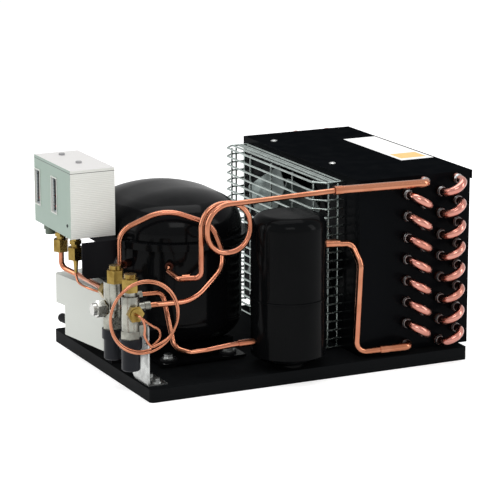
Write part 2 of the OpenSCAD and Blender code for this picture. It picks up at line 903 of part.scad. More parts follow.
module fin_pack() color("#aeb2b6") {
    inside = cabinet_depth - 2 * sheet;
    step = inside / (fin_count + 1);
    placed() for (i = [1:fin_count]) translate([0, cabinet_y + sheet + i * step, 0]) rotate([90, 0, 0])
        linear_extrude(fin_thick) difference() {
            translate([fins_x, plate_z + gap]) square([fins_w, fin_top_z - plate_z - gap]);
            for (c = [0:tube_columns - 1], r = [0:tube_rows - 1])
                translate([column_x(c), row_z(c, r)]) circle(d = tube_d + gap);
        }
}

// Straight tube with a belled socket at each end
module coil_tubes() color("#b86a4a") {
    l = cabinet_depth + 2 * tube_out;
    r = tube_d / 2;
    bell = bell_d / 2;
    socket = r + gap / 3;
    placed() translate([0, cabinet_y - tube_out, 0]) for (c = [0:tube_columns - 1], k = [0:tube_rows - 1])
        translate([column_x(c), 0, row_z(c, k)]) rotate([-90, 0, 0]) rotate_extrude() polygon([
            [socket, 0], [bell, 0], [bell, bell_l], [r, bell_l + bell_neck],
            [r, l - bell_l - bell_neck], [bell, l - bell_l], [bell, l], [socket, l],
            [socket, l - bell_l], [r - tube_wall, l - bell_l], [r - tube_wall, bell_l],
            [socket, bell_l]
        ]);
}

// Half-round bend between two neighbouring tubes, by its middle and the direction of its legs' line
module return_bend(x, z, angle) {
    bore = tube_d - 2 * tube_wall;
    leg = bend_leg + bell_l;
    translate([x, 0, z]) rotate([0, angle, 0]) rotate([0, 0, 180]) {
        translate([0, bend_leg, 0]) rotate_extrude(angle = 180) translate([bend_r, 0])
            section(tube_d, bore);
        for (side = [-1, 1]) translate([side * bend_r, bend_leg, 0]) rotate([90, 0, 0])
            linear_extrude(leg) section(tube_d, bore);
    }
}

// Bend from one tube to another, on the front
module bend_between(c1, r1, c2, r2) {
    dx = column_x(c2) - column_x(c1);
    dz = row_z(c2, r2) - row_z(c1, r1);
    return_bend((column_x(c1) + column_x(c2)) / 2, (row_z(c1, r1) + row_z(c2, r2)) / 2, -atan2(dz, dx));
}

module front_return_bends() color("#c07552") {
    placed() translate([0, cabinet_y - tube_out, 0]) {
        for (r = [0:tube_rows - 2]) bend_between(0, r, 1, r + 1);
        for (r = [0:tube_rows - 1]) bend_between(2, r, 3, r);
    }
}

module rear_return_bends() color("#c07552") {
    placed() translate([0, cabinet_back + tube_out, 0]) mirror([0, 1, 0]) {
        for (r = [0:tube_rows - 1]) bend_between(1, r, 2, r);
        for (r = [0:2:tube_rows - 2]) {
            bend_between(0, r, 0, r + 1);
            bend_between(3, r, 3, r + 1);
        }
    }
}

// Sheet with the fan's orifice and collar, and flanges to the cover, the tray and the end plates
module fan_shroud() color("#101012") {
    inside = cabinet_depth - 2 * sheet;
    difference() {
        placed() {
            translate([cabinet_x, cabinet_y + sheet, plate_z]) cube([sheet, inside, plate_h]);
            for (z = [plate_z, plate_z + plate_h - sheet])
                translate([cabinet_x, cabinet_y + sheet, z]) cube([shroud_flange, inside, sheet]);
            for (y = [cabinet_y + sheet, cabinet_back - 2 * sheet])
                translate([cabinet_x, y, plate_z]) cube([shroud_flange, sheet, plate_h]);
            translate([cabinet_x + sheet, fan_y, fan_z]) rotate([0, 90, 0])
                cylinder(r = orifice_r + sheet, h = collar_l - sheet);
        }
        placed() translate([cabinet_x - cut, fan_y, fan_z]) rotate([0, 90, 0])
            cylinder(r = orifice_r, h = collar_l + 2 * cut);
        at_cover_screws() translate([0, 0, cabinet_top - shroud_flange])
            cylinder(d = screw_d + 2 * bolt_gap, h = shroud_flange + cut);
    }
}

module at_cover_screws() {
    placed() for (share = screw_shares)
        translate([cabinet_x + 0.6 * shroud_flange, cabinet_y + share * cabinet_depth, 0]) children();
}

module top_cover() color("#101012") {
    difference() {
        placed() {
            translate([cabinet_x, cabinet_y, cabinet_top - sheet])
                cube([cabinet_length + cover_over, cabinet_depth, sheet]);
            translate([cabinet_x + cabinet_length + cover_over - sheet, cabinet_y,
                cabinet_top - cover_lip]) cube([sheet, cabinet_depth, cover_lip]);
        }
        at_cover_screws() translate([0, 0, cabinet_top - sheet - cut])
            cylinder(d = screw_d + 2 * bolt_gap, h = sheet + 2 * cut);
    }
}

module cover_screws() color("#d5d5d0") {
    at_cover_screws() {
        translate([0, 0, cabinet_top - 2 * screw_d]) cylinder(d = screw_d, h = 2 * screw_d);
        translate([0, 0, cabinet_top]) intersection() {
            cylinder(r = screw_d, h = screw_d);
            translate([0, 0, -1.2 * screw_d]) sphere(r = 1.75 * screw_d);
        }
    }
}

// Wire cage on the shroud: hoops open towards it, tied by upright wires inside the hoops
module fan_guard() color("#d9dadb") {
    front = guard_y + wire_d / 2;
    back = guard_y + guard_width - wire_d / 2;
    left = guard_x + wire_d / 2;
    tie = wire_d + wire_gap;
    tie_z = guard_z;
    placed() {
        for (i = [0:hoop_count - 1]) {
            z = guard_z + wire_d / 2 + i * hoop_pitch;
            pipe([
                [cabinet_x, front, z], [left + guard_corner, front, z], [left, front + guard_corner, z],
                [left, back - guard_corner, z], [left + guard_corner, back, z], [cabinet_x, back, z]
            ], [2 * wire_d, 2 * wire_d, 2 * wire_d, 2 * wire_d], wire_d);
        }
        for (x = [0.5, 0.85] * guard_depth, y = [front + tie, back - tie])
            translate([guard_x + x, y, tie_z]) cylinder(d = wire_d, h = guard_h);
        for (share = [0.06, 0.27, 0.49, 0.71, 0.92])
            translate([left + tie, guard_y + share * guard_width, tie_z]) cylinder(d = wire_d, h = guard_h);
        for (share = [0.4, 0.61, 0.74, 0.96])
            translate([guard_x + share * guard_depth, front + tie / 2, guard_z + guard_h - wire_d / 2])
                rotate([-90, 0, 0]) cylinder(d = wire_d, h = back - front - tie);
    }
}

module at_fan(x) {
    placed() translate([x, fan_y, fan_z]) rotate([0, 90, 0]) children();
}

module fan_motor() color("#9a9da1") {
    bore = fan_shaft_d + 2 * running_fit;
    at_fan(motor_x) {
        ring(fan_motor_d / 2, bore / 2, fan_motor_l);
        translate([0, 0, -stub_l / 2]) ring(1.5 * fan_shaft_d, bore / 2, stub_l / 2);
    }
}

// Upright strap behind the motor with feet on the shroud's top and bottom flanges
module motor_bracket() color("#2a2b2d") {
    bottom = plate_z + sheet;
    top = plate_z + plate_h - sheet;
    placed() {
        translate([strap_x, fan_y - strap_w / 2, bottom]) cube([sheet, strap_w, top - bottom]);
        for (z = [bottom, top - sheet])
            translate([strap_x - flange, fan_y - strap_w / 2, z]) cube([flange + sheet, strap_w, sheet]);
    }
}

module fan_shaft() color("#c4c6c8") {
    at_fan(blade_x - hub_l / 2) cylinder(d = fan_shaft_d, h = fan_shaft_l);
}

module fan_hub() color("#b9bcbf") {
    at_fan(blade_x - hub_l / 2) difference() {
        cylinder(d = hub_d, h = hub_l);
        translate([0, 0, -cut]) cylinder(d = fan_shaft_d, h = hub_l + 2 * cut);
    }
}

// Curved sheet blades, each cut by its outline from a round shell and pitched to the airflow
module fan_blades() color("#b9bcbf") {
    root_r = hub_d / 2;
    tip_r = fan_d / 2;
    at_fan(blade_x) for (i = [0:blade_count - 1]) rotate([0, 0, i * 360 / blade_count])
        intersection() {
            rotate([blade_pitch, 0, 0]) translate([0, 0, -blade_bow_r]) rotate([0, 90, 0])
                difference() {
                    cylinder(r = blade_bow_r + blade_thick / 2, h = 2 * tip_r, $fn = 96);
                    translate([0, 0, -cut])
                        cylinder(r = blade_bow_r - blade_thick / 2, h = 2 * (tip_r + cut), $fn = 96);
                }
            translate([0, 0, -blade_w]) linear_extrude(2 * blade_w) intersection() {
                difference() {
                    circle(r = tip_r, $fn = 120);
                    circle(r = root_r);
                }
                polygon([
                    [0.9 * root_r, -0.35 * root_r], [0.55 * tip_r, -0.36 * tip_r], [tip_r, -0.34 * tip_r],
                    [1.1 * tip_r, 0], [tip_r, 0.3 * tip_r], [0.6 * tip_r, 0.26 * tip_r],
                    [0.9 * root_r, 0.35 * root_r]
                ]);
            }
        }
}

module at_control() {
    placed() translate([control_x, control_y, control_z]) children();
}

function fitting_places() = [capillary_port_y, tube_port_y];

// Housing open on its left side, which the lid closes
module control_housing() color("#dcdcd6") {
    difference() {
        at_control() difference() {
            translate([lid_t, 0, 0]) cube([control_w - lid_t, control_l, control_h]);
            translate([lid_t - cut, control_wall, control_wall])
                cube([control_w - lid_t - control_wall + cut, control_l - 2 * control_wall,
                    control_h - 2 * control_wall]);
        }
        placed() for (y = [differential_y, range_y]) translate([adjuster_x, y, control_top - control_wall - cut])
            cylinder(d = adjuster_d + 2 * adjuster_fit, h = control_wall + 2 * cut);
        placed() for (y = fitting_places()) translate([fitting_x, y, control_z - cut])
            cylinder(r = fitting_r + gap, h = control_wall + 2 * cut);
        placed() translate([fitting_x, gland_y, control_z - cut])
            cylinder(r = gland_r + gap, h = control_wall + 2 * cut);
    }
}

module at_window(y) {
    placed() translate([control_x, y + window_shift - window_w / 2, window_z]) children();
}

module control_lid() color("#d4d4ce") {
    difference() {
        at_control() cube([lid_t, control_l, control_h]);
        for (y = [differential_y, range_y]) at_window(y) translate([-cut, 0, 0])
            cube([lid_t + 2 * cut, window_w, window_h]);
    }
}

// Scales behind the windows, each with a slot for its pointer
module scale_plates() color("#c8cfd6") {
    side = scale_side;
    for (y = [differential_y, range_y]) at_window(y) translate([lid_t, 0, 0]) difference() {
        translate([0, 0, -side]) cube([scale_t, window_w, window_h + 2 * side]);
        translate([-cut, window_w / 2 - pointer_h, side])
            cube([scale_t + 2 * cut, 2 * pointer_h, window_h - 2 * side]);
    }
}

// Slotted spindle with a collar under the housing's top
module adjuster(y) {
    collar_h = 1.5 * control_wall;
    slot_h = 0.75 * adjuster_out;
    placed() translate([adjuster_x, y, control_top + adjuster_out - adjuster_l]) difference() {
        union() {
            cylinder(d = adjuster_d, h = adjuster_l);
            translate([0, 0, adjuster_l - adjuster_out - control_wall - gap - collar_h])
                cylinder(d = 1.6 * adjuster_d, h = collar_h);
        }
        translate([-adjuster_d, -slot_w / 2, adjuster_l - slot_h]) cube([2 * adjuster_d, slot_w, slot_h + cut]);
    }
}

module range_screw() color("#b7b9bb") {
    adjuster(range_y);
}

module differential_screw() color("#b7b9bb") {
    adjuster(differential_y);
}

// Nut on the spindle with an arm to the window
module pointer(y) {
    arm_x = control_x + lid_t + control_wall;
    placed() difference() {
        union() {
            translate([adjuster_x, y, pointer_low_z]) cylinder(r = adjuster_d, h = pointer_h);
            translate([arm_x, y + window_shift - pointer_h, pointer_low_z])
                cube([adjuster_x - arm_x, 1.6 * pointer_h, pointer_h / 2]);
            translate([arm_x - control_wall + gap, y + window_shift - pointer_h / 2, pointer_low_z])
                cube([control_wall, pointer_h, pointer_h / 4]);
        }
        translate([adjuster_x, y, pointer_low_z - cut])
            cylinder(d = adjuster_d + 2 * adjuster_fit, h = pointer_h + 2 * cut);
    }
}

module range_pointer() color("#c23a2b") {
    pointer(range_y);
}

module differential_pointer() color("#c23a2b") {
    pointer(differential_y);
}

module control_bellows() color("#b5853f") {
    placed() for (y = fitting_places()) translate([fitting_x, y, control_z + control_wall])
        for (i = [0:3]) {
            translate([0, 0, 2 * i * bellows_rib]) cylinder(r = 0.88 * bellows_r, h = bellows_rib);
            translate([0, 0, (2 * i + 1) * bellows_rib]) cylinder(r = bellows_r, h = bellows_rib);
        }
}

module switch_block() color("#3b3c3f") {
    placed() translate([
        control_x + control_w - control_wall - switch_size[0], control_y + (control_l - switch_size[1]) / 2,
        control_z + switch_size[2] / 2
    ]) cube(switch_size);
}

// Male fitting under the housing with its flare nut
module flare_nut(place, af, tail) {
    translate([place[0], place[1], place[2] - fitting_h]) {
        cylinder(r = fitting_r, h = fitting_h + control_wall);
        translate([0, 0, fitting_h / 3]) hex_bar(0.8 * af, fitting_h / 3);
    }
    translate([place[0], place[1], place[2] - fitting_h - flare_nut_h]) difference() {
        hex_bar(af, flare_nut_h);
        if (tail == 0) translate([0, 0, -cut]) cylinder(d = line_d + 2 * gap, h = flare_nut_h / 2 + cut);
    }
    if (tail > 0) translate([place[0], place[1], place[2] - fitting_h - flare_nut_h - tail])
        cylinder(r1 = 0.6 * capillary_d, r2 = line_d / 2, h = tail);
}

module control_flare_nuts() color("#b08a4a") {
    placed() {
        flare_nut([fitting_x, capillary_port_y, control_z], 0.94 * nut_af, tail_h);
        flare_nut([fitting_x, tube_port_y, control_z], 0.94 * nut_af, 0);
    }
}

module cable_gland() color("#8f958c") {
    placed() translate([fitting_x, gland_y, control_z]) {
        difference() {
            union() {
                translate([0, 0, -gland_h]) cylinder(r = gland_r, h = gland_h + 3 * control_wall);
                translate([0, 0, -gland_h / 2]) hex_bar(2.3 * gland_r, gland_h / 2);
                translate([0, 0, control_wall]) hex_bar(2.3 * gland_r, control_wall);
            }
            translate([0, 0, -gland_h - cut])
                cylinder(r = 0.55 * gland_r, h = gland_h + 3 * control_wall + 2 * cut);
        }
    }
}

// Sheet bracket: a post on the tray, a web in front of the shell and a shelf under the control
module control_bracket() color("#232427") {
    web_y = control_y - web_front;
    shelf_x = fitting_x + shelf_in;
    shelf_z = control_z - sheet;
    post_x = base_corner_r / 2;
    web_low_z = control_z - web_h_front;
    wing = fitting_r;
    placed() {
        translate([0, web_y + sheet, 0]) rotate([90, 0, 0]) linear_extrude(sheet) polygon([
            [fitting_x - wing, control_z], [fitting_x - wing, web_low_z + wing], [fitting_x, web_low_z],
            [post_x, web_low_z], [post_x, base_height], [post_x + post_w, base_height],
            [post_x + post_w, web_low_z - 1.2 * post_w], [post_x + 0.3 * post_w, web_low_z - 0.3 * post_w],
            [post_x + 0.3 * post_w, web_low_z + 1.1 * post_w], [post_x + post_w, control_z - 0.6 * post_w],
            [post_x + post_w, control_z]
        ]);
        translate([shelf_x, web_y, shelf_z]) cube([post_x + post_w - shelf_x, 0.9 * control_l, sheet]);
        translate([post_x, web_y, base_height]) cube([post_w, 0.8 * post_w, sheet]);
    }
}

// Upright plate with a rounded top corner, a cut lower corner and a foot on the tray
module valve_bracket() color("#b9bbb9") {
    back_y = liquid_valve[1] + valve_r + bracket_back;
    corner_y = bracket_front_y + bracket_corner;
    corner_z = bracket_top_z - bracket_corner;
    difference() {
        placed() {
            translate([bracket_x, 0, 0]) rotate([90, 0, 90]) linear_extrude(bracket_t) {
                polygon([
                    [bracket_front_y, base_height], [bracket_front_y + bracket_foot_w, base_height],
                    [back_y, base_height + bracket_cut], [back_y, bracket_top_z], [corner_y, bracket_top_z],
                    [corner_y, corner_z], [bracket_front_y, corner_z]
                ]);
                translate([corner_y, corner_z]) circle(r = bracket_corner);
            }
            translate([bracket_x, bracket_front_y, base_height]) cube([bracket_foot, bracket_foot_w, sheet]);
        }
        at_bracket_bolts() translate([0, 0, base_height - cut])
            cylinder(d = bracket_bolt_d + 2 * bolt_gap, h = sheet + 2 * cut);
    }
}

// Six-sided foot, body, neck, boss to the bracket and line stub that both valves share
module valve_base(place, body, hex_z, line_z, line_x) {
    translate([place[0], place[1], 0]) {
        translate([0, 0, body[0]]) cylinder(r = valve_r, h = body[1] - body[0]);
        translate([0, 0, hex_z]) hex_bar(valve_hex_af, body[0] - hex_z);
        translate([0, -boss_w / 2, boss_z]) cube([bracket_x - place[0], boss_w, boss_h]);
        translate([0, 0, line_z]) rotate([0, 90, 0])
            cylinder(r = 0.86 * ferrule_r, h = line_x - ferrule_l / 2 - place[0]);
        translate([line_x - place[0] - ferrule_l, 0, line_z]) rotate([0, 90, 0])
            ring(ferrule_r, line_d / 2 - line_wall, ferrule_l);
    }
}

module stem_bore(place, hex_z, top_z) {
    translate([place[0], place[1], hex_z - cut])
        cylinder(d = stem_d + 2 * running_fit, h = top_z - hex_z - valve_r);
}

module suction_valve_body() color("#c9c7bf") {
    placed() difference() {
        union() {
            valve_base(suction_valve, suction_body, suction_hex_z, suction_line_z, suction_tube_x);
            translate([suction_valve[0], suction_valve[1], suction_body[1]]) cylinder(r = neck_r, h = valve_r);
            translate([suction_valve[0], suction_valve[1], front_port_z]) rotate([90, 0, 0])
                cylinder(r = neck_r, h = valve_r + nut_bore_share * front_nut_l);
        }
        stem_bore(suction_valve, suction_hex_z, suction_body[1]);
    }
}

module liquid_valve_body() color("#c9c7bf") {
    placed() difference() {
        union() {
            valve_base(liquid_valve, liquid_body, liquid_hex_z, liquid_line_z, liquid_tube_x);
            translate([liquid_valve[0], liquid_neck_y, liquid_body[0] + valve_r])
                cylinder(r = neck_r, h = liquid_body[1] - liquid_body[0]);
            translate([liquid_valve[0], liquid_valve[1], rear_port_z]) rotate([-90, 0, 0])
                cylinder(r = neck_r, h = valve_r + nut_bore_share * rear_nut_l);
            translate([liquid_valve[0], liquid_valve[1], side_port_z]) rotate([0, -90, 0])
                cylinder(r = neck_r, h = valve_r + nut_bore_share * side_nut_l);
        }
        stem_bore(liquid_valve, liquid_hex_z, liquid_body[1]);
    }
}

// Valve stem with a square end inside its cap
module stem(place, hex_z, top_z) {
    square_w = 0.7 * stem_d;
    placed() translate([place[0], place[1], hex_z - square_l]) {
        translate([-square_w / 2, -square_w / 2, 0]) cube([square_w, square_w, square_l]);
        translate([0, 0, 0.85 * square_l]) cylinder(d = stem_d, h = top_z - hex_z - 2 * valve_r);
    }
}

module suction_stem() color("#b9bbbd") {
    stem(suction_valve, suction_hex_z, suction_body[1]);
}

module liquid_stem() color("#b9bbbd") {
    stem(liquid_valve, liquid_hex_z, liquid_body[1]);
}

// Hollow cap under a valve
module stem_cap(place, top_z) {
    flange_z = top_z - cap_flange_h;
    translate([place[0], place[1], 0]) rotate_extrude() polygon([
        [0, cap_bottom_z], [cap_r - cap_wall / 2, cap_bottom_z], [cap_r, cap_bottom_z + cap_wall / 2],
        [cap_r, flange_z],
        [cap_flange_d / 2, flange_z], [cap_flange_d / 2, top_z], [cap_r - cap_wall, top_z],
        [cap_r - cap_wall, cap_bottom_z + cap_wall], [0, cap_bottom_z + cap_wall]
    ]);
}

module stem_caps() color("#1b1b1d") {
    placed() {
        stem_cap(suction_valve, suction_hex_z);
        stem_cap(liquid_valve, liquid_hex_z);
    }
}

// Blind hexagon nut over a neck, with a round boss on its closed end
module cap_nut(l, boss, hole = 0) {
    difference() {
        union() {
            hex_bar(nut_af, l - boss);
            translate([0, 0, l - boss]) cylinder(r = 0.4 * nut_af, h = boss);
        }
        translate([0, 0, -cut]) cylinder(r = neck_r + gap / 3, h = nut_bore_share * l + cut);
        if (hole > 0) translate([0, 0, l / 2]) cylinder(d = hole, h = l);
    }
}

module valve_brass_nuts() color("#c29a4e") {
    placed() {
        translate([suction_valve[0], suction_valve[1], suction_body[1] + valve_r / 2])
            cap_nut(top_nut_l, nut_boss);
        translate([liquid_valve[0], liquid_neck_y, liquid_body[1] + gap]) cap_nut(top_nut_l, nut_boss);
        translate([suction_valve[0], front_nut_y + front_nut_l, front_port_z]) rotate([90, 0, 0])
            cap_nut(front_nut_l, nut_boss / 5);
        translate([liquid_valve[0], rear_nut_y - rear_nut_l, rear_port_z]) rotate([-90, 0, 0])
            cap_nut(rear_nut_l, nut_boss / 2, line_d + 2 * gap);
        translate([liquid_valve[0] - valve_r - gap, liquid_valve[1], side_port_z]) rotate([0, -90, 0])
            cap_nut(side_nut_l, nut_boss);
    }
}

// Point at shares of the compressor's sizes from its middle
function by_shell(s) = [
    compressor_x + s[0] * shell_r, compressor_y + s[1] * shell_half_l, s[2] * shell_top_z
];
// Point on the way between two ends, with its own share along each axis
function between(a, b, s) = [for (i = [0:2]) a[i] + s[i] * (b[i] - a[i])];
function port_point(angle, z, r) =
    [compressor_x + r * cos(angle), end_y + r * sin(angle), z];

suction_route_shares = [
    [-1.138, -0.673, 0.835], [-0.541, -0.898, 0.96], [0.083, -1.102, 0.87], [0.264, -1.224, 0.659]
];
function suction_route() = let (tip = shell_r + port_out) concat(
    [port_point(suction_port_angle, suction_port_z, tip)],
    [port_point(suction_port_angle, suction_port_z, tip + port_out)],
    [for (s = suction_route_shares) by_shell(s)],
    [[suction_tube_x + 9 * line_d, suction_valve[1] + 1.3 * line_d, suction_line_z - 0.6 * line_d]],
    [[suction_tube_x + 1.2 * line_d, suction_valve[1], suction_line_z]],
    [[suction_tube_x, suction_valve[1], suction_line_z]]
);

module suction_tube() color("#c47a55") {
    placed() pipe(suction_route(),
        [1.18, 3.8, 7.9, 4.7, 4.7, 9.4, 1.9] * line_d, line_d, line_d - 2 * line_wall);
}

discharge_low_shares = [0.3, -3.8, -0.63];
function discharge_inlet() =
    [column_x(inlet_column), cabinet_y - tube_out + bell_l, row_z(inlet_column, 0)];
function loop_exit() = [loop_x + 1.5 * loop_r, loop_y - 2.4 * loop_step, loop_z + 1.06 * loop_r];
function discharge_joint() = [
    loop_exit()[0] + 0.43 * (discharge_inlet()[0] - loop_exit()[0]), 0.4 * cabinet_y,
    discharge_inlet()[2] + 0.35 * line_d
];

function discharge_route() = let (
    tip = port_point(discharge_port_angle, discharge_port_z, shell_r + port_out),
    out = port_point(discharge_port_angle, discharge_port_z, shell_r + 1.35 * port_out),
    elbow = port_point(discharge_port_angle, discharge_port_z - line_d / 2, shell_r + 2 * port_out),
    low = elbow + discharge_low_shares * line_d,
    left = loop_x - loop_r,
    right = loop_x + loop_r,
    high = loop_z + loop_r,
    riser_x = left - riser_shift
) [
    tip, out, elbow, low, [riser_x, loop_y + 2 * loop_step, low[2] + line_d / 2],
    [riser_x, loop_y + 2 * loop_step, high], [right, loop_y + loop_step, high],
    [right, loop_y, loop_z - loop_r], [left, loop_y - loop_step, loop_z - loop_r],
    [left, loop_y - 2 * loop_step, high + 0.02 * loop_r], loop_exit(), discharge_joint()
];

// Collar over the joint between two tubes, round a point along a direction
module collar(place, along, outer_d, inner_d, l) {
    straight(place - along * l / 2, place + along * l / 2, outer_d, inner_d);
}

module discharge_line() color("#c47a55") {
    route = discharge_route();
    loop_bend = 0.96 * loop_r;
    joint = discharge_joint();
    inlet = discharge_inlet();
    elbow = [inlet[0], 0.25 * cabinet_y, inlet[2] + 0.1 * line_d];
    placed() {
        pipe(route, concat([0.8, 0.8, 1.2, 1.4] * line_d, [for (i = [0:4]) loop_bend], [1.4 * loop_r]),
            line_d, line_d - 2 * line_wall);
        pipe([joint, elbow, inlet], [0.8 * tube_d], tube_d, tube_d - 2 * line_wall);
        collar(joint, unit(elbow - joint), tube_d + line_wall, line_d - swell, tube_d);
        collar(route[3] + [1.5 * line_d, 0, 0.06 * line_d], unit(route[4] - route[3]), 1.35 * line_d,
            line_d - swell, 1.4 * line_d);
    }
}

liquid_route_shares = [
    [0.224, 0, 0.009], [0.241, 0.542, 1.023], [0.343, 0.875, 1.084], [0.495, 0.979, 1.049], [0.749, 1, 1.005]
];

module liquid_line() color("#c47a55") {
    from = [liquid_tube_x, liquid_valve[1], liquid_line_z];
    to = [receiver_x - receiver_r + receiver_wall / 2, receiver_y, liquid_in_z];
    route = concat([from], [for (s = liquid_route_shares) between(from, to, s)], [to]);
    placed() {
        pipe(route, [1.4, 2.2, 1.4, 3.1, 6.3] * line_d, line_d, line_d - 2 * line_wall);
        collar(to - [2 * line_d, 0, 0], [1, 0, 0], 1.3 * line_d, line_d - 2 * swell, 3 * line_d);
    }
}

outlet_route_shares = [[0.367, 0, 0.022], [0.42, 1.385, 0.189], [0.357, 1.731, 1.011]];

module condenser_outlet_line() color("#c47a55") {
    from = [receiver_x + receiver_r - receiver_wall / 2, receiver_y, liquid_out_z];
    to = [column_x(outlet_column), cabinet_y - tube_out + bell_l, row_z(outlet_column, tube_rows - 1)];
    elbow = [to[0], 0.1 * cabinet_y, to[2] + 0.1 * outlet_d];
    corners = [for (s = outlet_route_shares) between(from, to, s)];
    joint = between(corners[2], elbow, [0.5, 0.5, 0.5]);
    placed() {
        pipe(concat([from], corners, [joint]), [1.1, 2.5, 1.5] * outlet_d, outlet_d, outlet_d - 2 * line_wall);
        pipe([joint, elbow, to], [0.8 * tube_d], tube_d, tube_d - 2 * line_wall);
        collar(joint, unit(elbow - joint), tube_d + line_wall, outlet_d - swell, tube_d);
        collar(from + [1.6 * outlet_d, 0, 0], unit(corners[0] - from), 1.25 * outlet_d, outlet_d - swell,
            2.4 * outlet_d);
    }
}

module control_tube() color("#b9694a") {
    top = [fitting_x, tube_port_y, control_z - fitting_h - flare_nut_h / 2];
    end = [liquid_valve[0], rear_nut_y - nut_boss / 2, rear_port_z];
    placed() pipe([
        top, [top[0], top[1], end[2] + 0.9 * line_d],
        [end[0] - 0.3 * line_d, tube_port_y - 3.6 * line_d, end[2]], end
    ], [1.4, 4.7] * line_d, line_d, line_d - 2 * line_wall);
}

// Smooth curve through points, with equal steps between each pair
function curve_point(a, b, c, d, t) = 0.5 * (2 * b + (c - a) * t + (2 * a - 5 * b + 4 * c - d) * t * t
    + (3 * b - a - 3 * c + d) * t * t * t);
function curve(points, steps) = [
    for (i = [1:len(points) - 3], k = [0:steps - 1])
        curve_point(points[i - 1], points[i], points[i + 1], points[i + 2], k / steps)
];

coil_x = -6.6;
coil_z = 99.1;
coil_y = -4.5;
coil_start_angle = -80;
coil_rings = 24;
coil_lead = 9;

// Capillary coil: its turns lie side by side and the first half turn winds outward
function coil_point(turn) = let (
    a = coil_start_angle + 360 * turn,
    r = coil_r - coil_lead * pow(1 - min(1, 2 * turn), 2)
) [coil_x + r * cos(a), coil_y + coil_pitch * turn, coil_z + r * sin(a)];

front_lead_shares = [
    [0, 0, 0], [0, -0.076, 0], [0.024, -0.195, -0.024], [0.095, -0.241, -0.143], [0.129, -0.241, -0.334],
    [0.124, -0.241, -0.549]
];
rear_lead_shares = [
    [0.3, 0.036, -0.84], [0.52, 0.084, -0.66], [0.52, 0.131, -0.46], [0.36, 0.167, -0.35],
    [0.179, 0.239, -0.215], [0.169, 0.352, -0.167], [0.169, 0.949, -0.119], [0.169, 1.641, -0.095],
    [0.158, 2.023, -0.06], [-0.081, 2.381, 0.072], [-0.368, 2.815, 0.155], [-0.463, 3.268, 0.215]
];
capillary_port = [fitting_x, capillary_port_y, control_z - fitting_h - flare_nut_h - tail_h];
front_lead = [for (s = front_lead_shares) [suction_valve[0], front_nut_y, front_port_z] + coil_r * s];
rear_lead = concat(
    [for (s = rear_lead_shares) [coil_x, coil_y + (coil_turns + 0.5) * coil_pitch, coil_z] + coil_r * s],
    [capillary_port - [0, 0, capillary_d], capillary_port]
);

capillary_path = concat(
    curve(concat([front_lead[0] + [0, capillary_d, 0]], front_lead, [coil_point(0), coil_point(1 / coil_rings)]), 3),
    [for (k = [0:coil_rings * coil_turns]) coil_point(k / coil_rings)],
    [for (p = curve(concat([coil_point(coil_turns - 1 / coil_rings), coil_point(coil_turns)],
        rear_lead, [capillary_port + [0, 0, capillary_d]]), 4)) if (p != coil_point(coil_turns)) p],
    [capillary_port]
);

// Directions of a path's rings, each turned as little as possible from the one before
function direction(path, i) = unit(path[min(i + 1, len(path) - 1)] - path[max(i - 1, 0)]);
function square_to(v, t) = unit(v - t * (v * t));
function sides(path, i, u) = i >= len(path) ? [] :
    let (s = square_to(u, direction(path, i))) concat([s], sides(path, i + 1, s));

// Tube swept along a path as one closed mesh
module swept_tube(path, d, edges) {
    n = len(path);
    u = sides(path, 0, abs(direction(path, 0)[2]) > 0.9 ? [1, 0, 0] : [0, 0, 1]);
    points = [
        for (i = [0:n - 1], k = [0:edges - 1])
            path[i] + d / 2 * (u[i] * cos(360 * k / edges)
                + cross(direction(path, i), u[i]) * sin(360 * k / edges))
    ];
    walls = [
        for (i = [0:n - 2], k = [0:edges - 1]) let (
            a = i * edges + k, b = i * edges + (k + 1) % edges
        ) each [[a, b, b + edges], [a, b + edges, a + edges]]
    ];
    ends = [
        for (k = [1:edges - 2]) each [
            [0, k + 1, k], [(n - 1) * edges, (n - 1) * edges + k, (n - 1) * edges + k + 1]
        ]
    ];
    polyhedron(points, concat([for (f = walls) [f[0], f[2], f[1]]], [for (f = ends) [f[0], f[2], f[1]]]));
}

module capillary_coil() color("#b9694a") {
    placed() swept_tube(capillary_path, capillary_d, 6);
}

base_tray();
compressor_lower_shell();
compressor_upper_shell();
compressor_feet();
foot_grommets();
fixing_bolts();
motor_stator();
motor_rotor();
crankshaft();
cylinder_block();
piston();
connecting_rod();
suspension_mounts();
shell_ports();
terminal_cover();
starting_device();
cable_boot();
receiver_top();
receiver_bottom();
receiver_bracket();
front_end_plate();
rear_end_plate();
fin_pack();
coil_tubes();
front_return_bends();
rear_return_bends();
fan_shroud();
top_cover();
cover_screws();
fan_guard();
fan_motor();
motor_bracket();
fan_shaft();
fan_hub();
fan_blades();
control_housing();
control_lid();
scale_plates();
range_screw();
differential_screw();
range_pointer();
differential_pointer();
control_bellows();
switch_block();
control_flare_nuts();
cable_gland();
control_bracket();
valve_bracket();
suction_valve_body();
liquid_valve_body();
suction_stem();
liquid_stem();
stem_caps();
valve_brass_nuts();
suction_tube();
discharge_line();
liquid_line();
condenser_outlet_line();
control_tube();
capillary_coil();
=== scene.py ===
"""Looks of an air-cooled condensing unit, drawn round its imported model.

Lengths are metres, but millimetres where a comment says so.
"""
import json
import math

